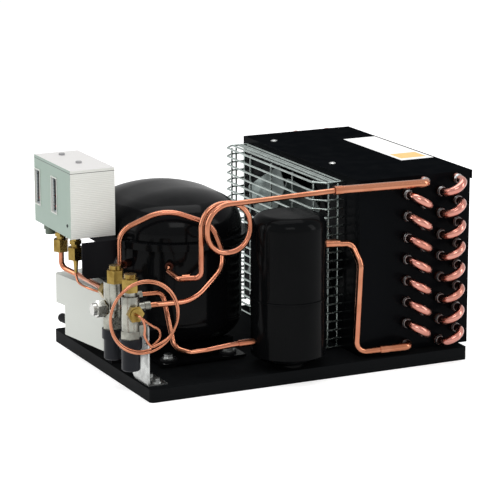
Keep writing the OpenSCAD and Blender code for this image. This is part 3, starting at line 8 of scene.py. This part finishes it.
import bmesh
import bpy
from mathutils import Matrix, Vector


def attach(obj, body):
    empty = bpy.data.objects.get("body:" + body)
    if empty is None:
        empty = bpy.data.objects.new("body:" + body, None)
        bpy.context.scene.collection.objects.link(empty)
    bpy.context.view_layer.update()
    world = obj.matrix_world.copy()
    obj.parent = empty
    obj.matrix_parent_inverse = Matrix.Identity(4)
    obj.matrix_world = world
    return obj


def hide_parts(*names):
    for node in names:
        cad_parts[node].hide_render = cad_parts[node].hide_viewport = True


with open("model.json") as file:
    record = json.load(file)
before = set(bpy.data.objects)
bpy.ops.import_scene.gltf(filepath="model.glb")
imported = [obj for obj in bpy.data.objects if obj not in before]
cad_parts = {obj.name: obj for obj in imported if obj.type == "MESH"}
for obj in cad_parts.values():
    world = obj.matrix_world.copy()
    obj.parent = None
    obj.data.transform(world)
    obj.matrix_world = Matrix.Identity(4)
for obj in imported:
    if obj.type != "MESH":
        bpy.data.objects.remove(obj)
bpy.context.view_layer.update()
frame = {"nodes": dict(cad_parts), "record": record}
nodes = frame["nodes"]
slot_of = {s["node"]: s["material_slot"] for s in frame["record"]["subparts"]}
scene = bpy.context.scene
MM = 0.001

# Camera and lamps

CAMERA_PLACE = (-1.2453, -2.5359, 0.7998)
CAMERA_YAW = 25.96
CAMERA_PITCH = 13.49
CAMERA_LENS = 177.5
LAMP_AIM = Vector((0, 0, 0.1))
SOFTBOXES = {  # place, width and height, watts
    "left_box": ((-2.2, 0.5, 1.1), (1.0, 1.8), 20),
    "right_box": ((1.9, -1.5, 1.1), (0.7, 1.8), 16),
    "top_box": ((0.0, 0.4, 2.4), (2.2, 1.6), 40),
    "front_box": ((-1.0, -2.6, 2.2), (1.4, 1.0), 20),
}


def make_camera():
    data = bpy.data.cameras.new("camera")
    data.lens = CAMERA_LENS
    data.sensor_width = 36
    data.clip_start = 0.1
    data.clip_end = 50
    camera = bpy.data.objects.new("camera", data)
    camera.location = CAMERA_PLACE
    camera.rotation_euler = (math.radians(90 - CAMERA_PITCH), 0, math.radians(-CAMERA_YAW))
    scene.collection.objects.link(camera)
    scene.camera = camera


def softbox(name, place, size, power):
    data = bpy.data.lights.new(name, "AREA")
    data.shape = "RECTANGLE"
    data.size, data.size_y = size
    data.energy = power
    lamp = bpy.data.objects.new(name, data)
    lamp.location = place
    aim = LAMP_AIM - Vector(place)
    lamp.rotation_euler = aim.to_track_quat("-Z", "Y").to_euler()
    scene.collection.objects.link(lamp)


# Shader sockets that take part in arithmetic


class Socket:
    """An output of a node, on which the arithmetic operators add Math nodes."""

    def __init__(self, finish, output):
        self.finish = finish
        self.output = output

    def __add__(self, other):
        return self.finish.calculate("ADD", self, other)

    def __radd__(self, other):
        return self.finish.calculate("ADD", other, self)

    def __mul__(self, other):
        return self.finish.calculate("MULTIPLY", self, other)

    def __rmul__(self, other):
        return self.finish.calculate("MULTIPLY", other, self)


class Finish:
    """A node tree under construction."""

    def __init__(self, tree):
        self.tree = tree
        tree.nodes.clear()

    def add(self, kind, settings=None, inputs=None, output=0):
        """A node with its settings, set first, and the values or links of its inputs."""
        node = self.tree.nodes.new(kind)
        for name, value in (settings or {}).items():
            setattr(node, name, value)
        for name, value in (inputs or {}).items():
            if isinstance(value, Socket):
                self.tree.links.new(value.output, node.inputs[name])
            else:
                node.inputs[name].default_value = value
        return Socket(self, node.outputs[output]) if node.outputs else None

    def calculate(self, operation, *values):
        return self.add("ShaderNodeMath", {"operation": operation}, dict(enumerate(values)))

    def place(self):
        """The point of the surface, in metres, in the part's frame."""
        return self.add("ShaderNodeTexCoord", output="Object")

    def noise(self, scale, detail, stretch=None):
        """Noise from 0 to 1 with the given number of waves to the metre."""
        where = self.place()
        if stretch:
            where = self.add("ShaderNodeMapping", {}, {0: where, "Scale": stretch})
        inputs = {"Vector": where, "Scale": scale, "Detail": detail}
        return self.add("ShaderNodeTexNoise", {}, inputs)

    def grade(self, value, low, high, kind="SMOOTHSTEP"):
        """The value's way from low to high, from 0 to 1."""
        inputs = {0: value, 1: low, 2: high}
        return self.add("ShaderNodeMapRange", {"interpolation_type": kind}, inputs)

    def band(self, value, low, high, edge, kind="SMOOTHSTEP"):
        """1 between low and high and 0 beyond them, with edges of the given width just inside."""
        above = self.grade(value, low, low + edge, kind)
        below = self.grade(value, high, high - edge, kind)
        return above * below

    def blend(self, share, first, second):
        """A colour between two colours."""
        first = first if isinstance(first, Socket) else (*first, 1)
        second = second if isinstance(second, Socket) else (*second, 1)
        inputs = {0: share, 6: first, 7: second}
        return self.add("ShaderNodeMix", {"data_type": "RGBA"}, inputs, output=2)

    def bump(self, height, depth, strength):
        """A bumpy normal; the depth is in millimetres."""
        inputs = {"Height": height, "Distance": depth * MM, "Strength": strength}
        return self.add("ShaderNodeBump", {}, inputs)

    def separate(self, vector, axis):
        return self.add("ShaderNodeSeparateXYZ", {}, {0: vector}, output=axis)

    def facing(self, axis):
        """How far a surface faces along the axis, from -1 to 1."""
        return self.separate(self.add("ShaderNodeNewGeometry", output="Normal"), axis)

    def surface(self, colour, roughness, bump, others):
        """The tree's surface; the others are the shader's further inputs by name."""
        inputs = {"Base Color": colour, "Roughness": roughness, "Normal": bump, **others}
        shader = self.add("ShaderNodeBsdfPrincipled", {}, inputs)
        self.add("ShaderNodeOutputMaterial", {}, {"Surface": shader})


def new_finish(name):
    material = bpy.data.materials.new(name)
    material.use_nodes = True
    return material, Finish(material.node_tree)


def tint(base, red, green, blue):
    """The base colour with its channels multiplied."""
    return base[0] * red, base[1] * green, base[2] * blue


# World and floor

WORLD_LEVEL = 0.45
FLOOR_GLOW = 0.55
FLOOR_HALF = 14


def seen_by(f, *rays):
    """1 for rays of the given kinds, 0 for others."""
    kinds = [f.add("ShaderNodeLightPath", output=f"Is {ray} Ray") for ray in rays]
    return sum(kinds[1:], kinds[0])


def make_world():
    """White to the camera and in reflections, and dimmer as a light."""
    world = bpy.data.worlds.new("studio")
    world.use_nodes = True
    scene.world = world
    f = Finish(world.node_tree)
    seen = f.calculate("MINIMUM", seen_by(f, "Camera", "Glossy", "Transmission"), 1.0)
    level = seen * (1 - WORLD_LEVEL) + WORLD_LEVEL
    shade = f.add("ShaderNodeBackground", {}, {"Color": (1, 1, 1, 1), "Strength": level})
    f.add("ShaderNodeOutputWorld", {}, {"Surface": shade})


def floor_finish():
    """White, with a glow that only the camera and reflections see."""
    material, f = new_finish("floor")
    colour = f.blend(f.noise(40, 3), (0.80, 0.80, 0.80), (0.82, 0.82, 0.82))
    base = f.add("ShaderNodeBsdfDiffuse", {}, {"Color": colour})
    strength = seen_by(f, "Camera", "Glossy") * FLOOR_GLOW
    glow = f.add("ShaderNodeEmission", {}, {"Color": (1, 1, 1, 1), "Strength": strength})
    both = f.add("ShaderNodeAddShader", {}, {0: base, 1: glow})
    f.add("ShaderNodeOutputMaterial", {}, {"Surface": both})
    return material


def make_floor():
    mesh = bpy.data.meshes.new("floor")
    signs = ((-1, -1), (1, -1), (1, 1), (-1, 1))
    corners = [(x * FLOOR_HALF, y * FLOOR_HALF, 0) for x, y in signs]
    mesh.from_pydata(corners, [], [(0, 1, 2, 3)])
    mesh.materials.append(floor_finish())
    floor = bpy.data.objects.new("floor", mesh)
    scene.collection.objects.link(floor)


# Finishes; a bump's depth, which enamel calls its peel, is in millimetres

COAT_IOR = 1.18
PLATED_X = (-0.2262, -0.2264)  # the plated nut lies beyond these edges, to the left and below
PLATED_Z = (0.111, 0.110)
SEAM_HEIGHTS = (0.2350, 0.2361)
SEAM_EDGE = 0.0003
RIB_PITCH = 0.0021
MARK_PITCH = 0.004
LABEL_RULES = 22


def black_enamel(name, base, rough, peel, gloss, crown_gloss):
    """Sprayed black enamel with orange peel; its gloss on upright faces and on those facing up."""
    material, f = new_finish(name)
    up = f.facing("Z")
    dust = f.grade(up, 0.5, 1.0) * f.grade(f.noise(60, 4), 0.35, 0.75)
    specks = f.grade(f.noise(900, 1), 0.68, 0.75)
    shade = f.blend(f.noise(9, 2), base, tint(base, 1.5, 1.5, 1.5))
    colour = f.blend(dust * 0.004 + specks * 0.006, shade, (0.35, 0.35, 0.34))
    bump = f.bump(f.noise(260, 2), peel, 0.5)
    coat = f.grade(up, 0.2, 0.95) * (crown_gloss - gloss) + gloss
    coat = coat * (f.grade(f.noise(30, 3), 0.1, 0.9) * 0.25 + 0.85)
    varnish = {"Coat Weight": coat, "Coat Roughness": rough, "Coat IOR": COAT_IOR}
    f.surface(colour, 0.5, bump, {"Specular IOR Level": 0.0, **varnish})
    return material


def copper(name, base, rough):
    """Drawn copper with handling marks and darker, redder patches where it was heated."""
    material, f = new_finish(name)
    stains = f.grade(f.noise(45, 3), 0.35, 0.75)
    marks = f.noise(700, 2)
    heat = f.grade(f.noise(14, 1), 0.45, 0.75)
    warm = f.blend(stains, base, tint(base, 0.82, 0.72, 0.65))
    colour = f.blend(heat * 0.5, warm, tint(base, 0.95, 0.78, 0.85))
    roughness = stains * 0.12 + marks * 0.06 + rough
    f.surface(colour, roughness, f.bump(f.noise(350, 3), 0.03, 0.2), {"Metallic": 1.0})
    return material


def bare_metal(name, base, rough, grain=None, scale=500, depth=0.05, stain=0.7):
    """Bare or plated metal with a grain and cloudy stains."""
    material, f = new_finish(name)
    cloud = f.grade(f.noise(70, 3), 0.3, 0.75)
    lines = f.noise(scale, 3, grain)
    colour = f.blend(cloud, base, tint(base, stain, stain, stain))
    roughness = cloud * 0.1 + lines * 0.12 + rough
    f.surface(colour, roughness, f.bump(lines, depth, 0.4), {"Metallic": 1.0})
    return material


def moulded(name, base, rough, grain=900, specular=0.4):
    """Moulded plastic, rubber or thick paint with a fine grain and light soiling."""
    material, f = new_finish(name)
    dirt = f.grade(f.noise(28, 4), 0.45, 0.8) * 0.04
    colour = f.blend(dirt, base, tint(base, 0.6, 0.57, 0.5))
    roughness = f.noise(40, 3) * 0.12 + (rough - 0.06)
    bump = f.bump(f.noise(grain, 2), 0.06, 0.5)
    f.surface(colour, roughness, bump, {"Specular IOR Level": specular})
    return material


def brass(name, base, rough):
    """Machined brass, turned and tarnished; the liquid valve's side nut is plated."""
    material, f = new_finish(name)
    where = f.place()
    plated = f.grade(f.separate(where, "X"), *PLATED_X, "LINEAR")
    plated = plated * f.grade(f.separate(where, "Z"), *PLATED_Z, "LINEAR")
    tarnish = f.grade(f.noise(90, 4), 0.3, 0.75)
    marks = f.noise(900, 2, (1, 1, 6))
    warm = f.blend(tarnish, base, tint(base, 0.6, 0.55, 0.45))
    colour = f.blend(plated, warm, (0.45, 0.45, 0.43))
    roughness = tarnish * 0.15 + marks * 0.1 + rough
    f.surface(colour, roughness, f.bump(marks, 0.05, 0.4), {"Metallic": 1.0})
    return material


def control_enamel(name, shaded_left_colour, lit_front_colour, other_colour):
    """Cream enamel with the lid's dark seam all round and fine pressed ribs on the front face; the
    front face is painted lighter as painted light, the left face darker as painted shade, and the
    ribs carry stripes of painted shade.
    """
    material, f = new_finish(name)
    height = f.separate(f.place(), "Z")
    front = f.grade(f.facing("Y"), -0.7, -0.95)
    left = f.grade(f.facing("X"), -0.7, -0.95)
    upright = f.grade(f.facing("Z"), 0.6, 0.4)
    seam = f.band(height, *SEAM_HEIGHTS, SEAM_EDGE) * upright
    ribs = f.calculate("SINE", height * (math.tau / RIB_PITCH)) * 0.5 + 0.5
    soil = f.grade(f.noise(28, 4), 0.45, 0.8) * 0.06
    # Painted light and shade: the front face gets a lighter, lit colour and the left face a darker,
    # shaded one
    lit_and_shaded_faces = f.blend(front, f.blend(left, other_colour, shaded_left_colour), lit_front_colour)
    # Painted shade: the pressed ribs on the front face get darker stripes along their wave
    shaded = f.blend(ribs * front * 0.22, lit_and_shaded_faces, (0.45, 0.45, 0.40))
    aged = f.blend(soil, shaded, (0.35, 0.33, 0.28))
    colour = f.blend(seam * 0.85, aged, (0.05, 0.05, 0.05))
    roughness = f.noise(40, 3) * 0.12 + 0.34
    bump = f.bump(ribs * front + f.noise(500, 2) * 0.1, 0.3, 0.5)
    f.surface(colour, roughness, bump, {"Specular IOR Level": 0.35})
    return material


def scale_finish(name, base):
    """Grey scale plate with dark division marks across it."""
    material, f = new_finish(name)
    height = f.separate(f.place(), "Z")
    marks = f.grade(f.calculate("FRACT", height * (1 / MARK_PITCH)), 0.24, 0.18)
    colour = f.blend(marks * 0.8, base, (0.02, 0.02, 0.02))
    lines = f.noise(500, 3, (1, 1, 12))
    f.surface(colour, lines * 0.15 + 0.35, f.bump(lines, 0.03, 0.4), {"Metallic": 0.6})
    return material


def label_finish(name, low, high):
    """White film label with an orange panel and faint ruled lines, without lettering."""
    material, f = new_finish(name)
    where = f.place()
    across = f.grade(f.separate(where, "X"), low.x, high.x, "LINEAR")
    along = f.grade(f.separate(where, "Y"), low.y, high.y, "LINEAR")
    panel = f.band(across, 0.10, 0.90, 0.01, "LINEAR")
    panel = panel * f.band(along, 0.06, 0.26, 0.005, "LINEAR")
    rules = f.grade(f.calculate("FRACT", along * LABEL_RULES), 0.16, 0.12)
    rules = rules * f.band(across, 0.12, 0.88, 0.01, "LINEAR")
    rules = rules * f.band(along, 0.34, 0.94, 0.005, "LINEAR")
    paper = f.blend(f.noise(50, 3), (0.80, 0.80, 0.79), (0.86, 0.86, 0.85))
    ruled = f.blend(rules * 0.3, paper, (0.35, 0.36, 0.38))
    colour = f.blend(panel * 0.9, ruled, (0.85, 0.42, 0.06))
    roughness = f.noise(90, 2) * 0.1 + 0.35
    bump = f.bump(f.noise(120, 2), 0.05, 0.3)
    f.surface(colour, roughness, bump, {"Specular IOR Level": 0.3})
    return material


FINISHES = {
    "tray_paint": black_enamel(
        "tray_paint", (0.005, 0.0055, 0.006), rough=0.35, peel=0.10, gloss=0.25, crown_gloss=0.04
    ),
    "shell_paint": black_enamel(
        "shell_paint", (0.0024, 0.0026, 0.003), rough=0.12, peel=0.06, gloss=0.6, crown_gloss=0.5
    ),
    "receiver_paint": black_enamel(
        "receiver_paint", (0.0022, 0.0024, 0.0027), rough=0.12, peel=0.04, gloss=0.45, crown_gloss=0.2
    ),
    "cabinet_paint": black_enamel(
        "cabinet_paint", (0.0024, 0.0028, 0.0034), rough=0.2, peel=0.08, gloss=0.2, crown_gloss=0.0
    ),
    "bracket_paint": black_enamel(
        "bracket_paint", (0.006, 0.006, 0.007), rough=0.35, peel=0.1, gloss=0.4, crown_gloss=0.1
    ),
    "line_copper": copper("line_copper", (0.43, 0.18, 0.105), 0.12),
    "condenser_copper": copper("condenser_copper", (0.50, 0.225, 0.18), 0.15),
    "plated_ports": bare_metal("plated_ports", (0.05, 0.02, 0.015), 0.35),
    "grommet_rubber": moulded("grommet_rubber", (0.008, 0.008, 0.009), 0.7, grain=700, specular=0.1),
    "dark_plastic": moulded("dark_plastic", (0.006, 0.007, 0.010), 0.45, specular=0.15),
    "white_plastic": moulded("white_plastic", (0.56, 0.58, 0.54), 0.45),
    # The control's colours: left face painted shade, front face painted light, then the other faces
    "control_paint": control_enamel(
        "control_paint", (0.25, 0.33, 0.28), (0.88, 0.89, 0.84), (0.56, 0.55, 0.54)
    ),
    "gland_plastic": moulded("gland_plastic", (0.09, 0.12, 0.09), 0.5),
    "pointer_red": moulded("pointer_red", (0.40, 0.05, 0.03), 0.5),
    "zinc_fasteners": bare_metal("zinc_fasteners", (0.46, 0.47, 0.46), 0.2, stain=0.6),
    "guard_wire": bare_metal("guard_wire", (0.36, 0.41, 0.39), 0.16),
    "machined_steel": bare_metal("machined_steel", (0.38, 0.38, 0.39), 0.22, grain=(1, 1, 8)),
    "motor_steel": bare_metal("motor_steel", (0.42, 0.42, 0.43), 0.4, grain=(1, 1, 20)),
    "block_iron": bare_metal("block_iron", (0.24, 0.24, 0.25), 0.5, scale=300, depth=0.2),
    "fin_aluminium": bare_metal("fin_aluminium", (0.12, 0.14, 0.135), 0.3, grain=(1, 6, 1)),
    "motor_case": bare_metal("motor_case", (0.30, 0.31, 0.32), 0.4, scale=350, depth=0.12),
    "scale_metal": scale_finish("scale_metal", (0.24, 0.28, 0.30)),
    "brass_fittings": brass("brass_fittings", (0.27, 0.19, 0.055), 0.15),
    "nickel_valve": bare_metal(
        "nickel_valve", (0.31, 0.31, 0.27), 0.18, scale=300, depth=0.15, stain=0.45
    ),
}


# Pieces: places and sizes are millimetres, places from the tray's front left corner

TRAY_WIDTH = 405
TRAY_DEPTH = 288
ALONG_X = Vector((1, 0, 0))
ALONG_Y = Vector((0, 1, 0))
ALONG_Z = Vector((0, 0, 1))


def at(x, y, z):
    """The point at a place."""
    return Vector((x - TRAY_WIDTH / 2, y - TRAY_DEPTH / 2, z)) * MM


def add_piece(name, data, slot, material=None):
    piece = bpy.data.objects.new(name, data)
    data.materials.append(material or FINISHES[slot])
    scene.collection.objects.link(piece)
    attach(piece, "unit")
    return piece


def mesh_piece(name, shape, slot, material=None, smooth=True):
    mesh = bpy.data.meshes.new(name)
    bmesh.ops.recalc_face_normals(shape, faces=shape.faces)
    shape.to_mesh(mesh)
    shape.free()
    if smooth:
        mesh.shade_smooth()
    else:
        mesh.shade_flat()
    return add_piece(name, mesh, slot, material)


def tube_piece(name, points, diameter, slot):
    data = bpy.data.curves.new(name, "CURVE")
    data.dimensions = "3D"
    data.bevel_depth = diameter / 2 * MM
    data.bevel_resolution = 6
    data.use_fill_caps = True
    spline = data.splines.new("POLY")
    spline.points.add(len(points) - 1)
    for spot, point in zip(spline.points, points):
        spot.co = (*point, 1)
    spline.use_smooth = True
    return add_piece(name, data, slot)


def smooth_path(points, steps):
    """Points along a Catmull-Rom curve through the given ones."""
    last = len(points) - 1
    path = []
    for i in range(last):
        a, b, c, d = (points[min(max(k, 0), last)] for k in range(i - 1, i + 3))
        square = a * 2 - b * 5 + c * 4 - d
        cube = b * 3 - a - c * 3 + d
        for step in range(steps):
            t = step / steps
            path.append((b * 2 + (c - a) * t + square * t**2 + cube * t**3) / 2)
    return path + [points[-1]]


VALVE_PORT = (-13.5, 5.6, 101.5)
COIL_FRONT = (-6.6, -4.5, 99.1)
COIL_REAR = (-6.6, 5.25, 99.1)
CONTROL_PORT = (-26, 150.2, 118.5)
PORT_STUB = 3.2
COIL_R = 41.9
COIL_TURNS = 2
COIL_STEPS = 24
COIL_PITCH = 3.9
COIL_START_ANGLE = -80
COIL_LEAD = 9  # how much smaller the coil's radius is where it starts
COIL_INSET = 3  # how much smaller it is from the middle of its second turn
CAPILLARY_D = 2.8
PATH_STEPS = 6
# The leads' points are shares of the coil's radius, from the valve's port and from the coil's rear
FRONT_LEAD = (
    (0, 0, 0),
    (0, -0.076, 0),
    (0.024, -0.195, -0.024),
    (0.095, -0.241, -0.143),
    (0.129, -0.241, -0.334),
    (0.124, -0.241, -0.549),
)
REAR_LEAD = (
    (0.3, 0.036, -0.84),
    (0.52, 0.084, -0.66),
    (0.52, 0.131, -0.46),
    (0.36, 0.167, -0.35),
    (0.179, 0.239, -0.215),
    (0.169, 0.352, -0.167),
    (0.169, 0.949, -0.119),
    (0.169, 1.641, -0.095),
    (0.158, 2.023, -0.06),
    (-0.081, 2.381, 0.072),
    (-0.368, 2.815, 0.155),
    (-0.463, 3.268, 0.215),
)


def lead_points(start, lead):
    return [at(*start) + Vector(share) * COIL_R * MM for share in lead]


def make_capillary():
    """A lead from the suction valve, two loose turns, and a lead up to the control."""
    points = lead_points(VALVE_PORT, FRONT_LEAD)
    x, y, z = COIL_FRONT
    for step in range(COIL_STEPS * COIL_TURNS + 1):
        turn = step / COIL_STEPS
        lead = COIL_LEAD * (1 - min(1, 2 * turn)) ** 2
        inset = COIL_INSET * min(1, max(0, turn - 0.5))
        radius = COIL_R - lead - inset
        angle = math.radians(COIL_START_ANGLE + 360 * turn)
        across, rise = radius * math.cos(angle), radius * math.sin(angle)
        points.append(at(x + across, y + COIL_PITCH * turn, z + rise))
    points += lead_points(COIL_REAR, REAR_LEAD)
    end = at(*CONTROL_PORT)
    points += [end - ALONG_Z * PORT_STUB * MM, end]
    path = smooth_path(points, PATH_STEPS)
    piece = tube_piece("capillary_tube", path, CAPILLARY_D, "line_copper")
    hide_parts("capillary_coil")


FINS_X = (319.2, 407.4)
FINS_Z = (15.8, 220.0)
FIRST_FIN_Y = 21.9
FIN_COUNT = 95
FIN_PITCH = 3.2
FIN_FOLDS = 16
FIN_WAVE = 0.35
FIN_THICKNESS = 0.12


def make_fins():
    """Thin corrugated fins at their real pitch."""
    shape = bmesh.new()
    left, right = FINS_X
    for fin in range(FIN_COUNT):
        rows = []
        for fold in range(FIN_FOLDS + 1):
            x = left + (right - left) * fold / FIN_FOLDS
            y = FIRST_FIN_Y + FIN_PITCH * fin + (FIN_WAVE if fold % 2 else -FIN_WAVE)
            rows.append([shape.verts.new(at(x, y, z)) for z in FINS_Z])
        for first, second in zip(rows, rows[1:]):
            shape.faces.new((first[0], second[0], second[1], first[1]))
    piece = mesh_piece("fine_fins", shape, "fin_aluminium", smooth=False)
    thick = piece.modifiers.new("thickness", "SOLIDIFY")
    thick.thickness = FIN_THICKNESS * MM
    thick.offset = 0
    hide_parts("fin_pack")


def turned(shape, centre, axis, side, profile, steps, closed):
    """A profile turned round the axis; its pairs are the radius and the way along the axis."""
    rows = []
    for step in range(steps):
        angle = math.tau * step / steps
        across = side * math.cos(angle) + ALONG_Z * math.sin(angle)
        places = [centre + (across * radius + axis * way) * MM for radius, way in profile]
        rows.append([shape.verts.new(place) for place in places])
    edges = [(k, k + 1) for k in range(len(profile) - 1)]
    if closed:
        edges.append((len(profile) - 1, 0))
    for here, there in zip(rows, rows[1:] + rows[:1]):
        for k, n in edges:
            shape.faces.new((here[k], here[n], there[n], there[k]))


TUBE_COLUMNS = 4
TUBE_ROWS = 8
FIRST_TUBE_X = 330.3
TOP_TUBE_Z = 202.14
COLUMN_PITCH = 22
ROW_PITCH = 25.4
COLUMN_STAGGER = 12.7
FRONT_MOUTH_Y = 12.9
REAR_MOUTH_Y = 332.1
BRAZE_STEPS = 28
BRAZE_PROFILE = (
    (4.6, -3.0), (5.15, -2.8), (5.3, -2.0), (5.2, -0.8),
    (5.8, -0.1), (5.9, 0.3), (5.8, 0.8), (4.6, 0.8),
)


def make_braze_rings():
    """Silvery braze metal in the mouth of every belled tube end."""
    shape = bmesh.new()
    mouths = ((FRONT_MOUTH_Y, ALONG_Y), (REAR_MOUTH_Y, -ALONG_Y))
    for column in range(TUBE_COLUMNS):
        for row in range(TUBE_ROWS):
            x = FIRST_TUBE_X + COLUMN_PITCH * column
            z = TOP_TUBE_Z + (column % 2) * COLUMN_STAGGER - ROW_PITCH * row
            for y, inward in mouths:
                turned(shape, at(x, y, z), inward, ALONG_X, BRAZE_PROFILE, BRAZE_STEPS, closed=True)
    braze = bare_metal("braze_metal", (0.34, 0.34, 0.34), 0.25, scale=250, depth=0.2, stain=0.5)
    mesh_piece("braze_rings", shape, "zinc_fasteners", braze)


BLOCK_FACES = ((0, 1, 3, 2), (4, 6, 7, 5), (0, 4, 5, 1), (2, 3, 7, 6), (0, 2, 6, 4), (1, 5, 7, 3))


def block(shape, low, high):
    """A box between two opposite corners."""
    corners = [
        shape.verts.new((x, y, z))
        for x in (low.x, high.x)
        for y in (low.y, high.y)
        for z in (low.z, high.z)
    ]
    for face in BLOCK_FACES:
        shape.faces.new([corners[k] for k in face])


def soften(piece, width, segments):
    """Rounds the piece's edges that are sharper than 35 degrees."""
    bevel = piece.modifiers.new("edges", "BEVEL")
    bevel.width = width * MM
    bevel.segments = segments
    bevel.limit_method = "ANGLE"
    bevel.angle_limit = math.radians(35)


WINDOWS_Y = ((181.5, 196.5), (233.5, 248.5))
WINDOW_Z = (182.0, 222.0)
FRAME_X = (-36.5, -35.7)
FRAME_WIDTH = 1.5


def make_window_frames():
    """Light moulded frames round the control's two scale windows."""
    shape = bmesh.new()
    left, right = FRAME_X
    bottom, top = WINDOW_Z
    for front, rear in WINDOWS_Y:
        bars = (
            (front - FRAME_WIDTH, rear + FRAME_WIDTH, bottom - FRAME_WIDTH, bottom),
            (front - FRAME_WIDTH, rear + FRAME_WIDTH, top, top + FRAME_WIDTH),
            (front - FRAME_WIDTH, front, bottom, top),
            (rear, rear + FRAME_WIDTH, bottom, top),
        )
        for low_y, high_y, low_z, high_z in bars:
            block(shape, at(left, low_y, low_z), at(right, high_y, high_z))
    piece = mesh_piece("window_frames", shape, "white_plastic", smooth=False)
    soften(piece, 0.3, segments=3)


SCREW_PLACE = (-35.8, 149.5, 174.0)
SCREW_STEPS = 20
SCREW_PROFILE = ((1.9, 0.1), (1.9, -0.35), (1.5, -0.7), (0.55, -0.8), (0.5, -0.4), (0.02, -0.4))


def make_face_screw():
    """The small dark screw low on the control's left face, with a round recess."""
    shape = bmesh.new()
    turned(shape, at(*SCREW_PLACE), ALONG_X, ALONG_Y, SCREW_PROFILE, SCREW_STEPS, closed=False)
    mesh_piece("face_screw", shape, "dark_plastic")


LABEL_LOW = (372, 104, 221.9)
LABEL_HIGH = (415.7, 250, 222.25)


def make_label():
    """The cover's label, a thin film with rounded edges."""
    low, high = at(*LABEL_LOW), at(*LABEL_HIGH)
    shape = bmesh.new()
    block(shape, low, high)
    film = label_finish("cover_label", low, high)
    piece = mesh_piece("cover_label", shape, "white_plastic", film, smooth=False)
    soften(piece, 0.1, segments=2)


# The nodes that get rounded edges, by the width of the rounding
SHARP_EDGES = {
    0.5: (
        "base_tray", "front_end_plate", "rear_end_plate",
        "fan_shroud", "top_cover", "control_bracket",
    ),
    0.4: (
        "valve_bracket", "motor_bracket", "control_housing",
        "control_lid", "terminal_cover", "compressor_feet",
    ),
    0.3: (
        "valve_brass_nuts", "control_flare_nuts", "fixing_bolts",
        "suction_valve_body", "liquid_valve_body",
    ),
}


def dress_frame():
    """Gives every carried-over node its finish and rounds the edges of sheet and machined parts."""
    for name, node in nodes.items():
        node.data.materials.clear()
        node.data.materials.append(FINISHES[slot_of[name]])
    for width, names in SHARP_EDGES.items():
        for name in names:
            soften(nodes[name], width, segments=2)


make_camera()
make_world()
make_floor()
for name, values in SOFTBOXES.items():
    softbox(name, *values)
dress_frame()
make_capillary()
make_fins()
make_braze_rings()
make_window_frames()
make_face_screw()
make_label()

scene.view_settings.view_transform = "Standard"
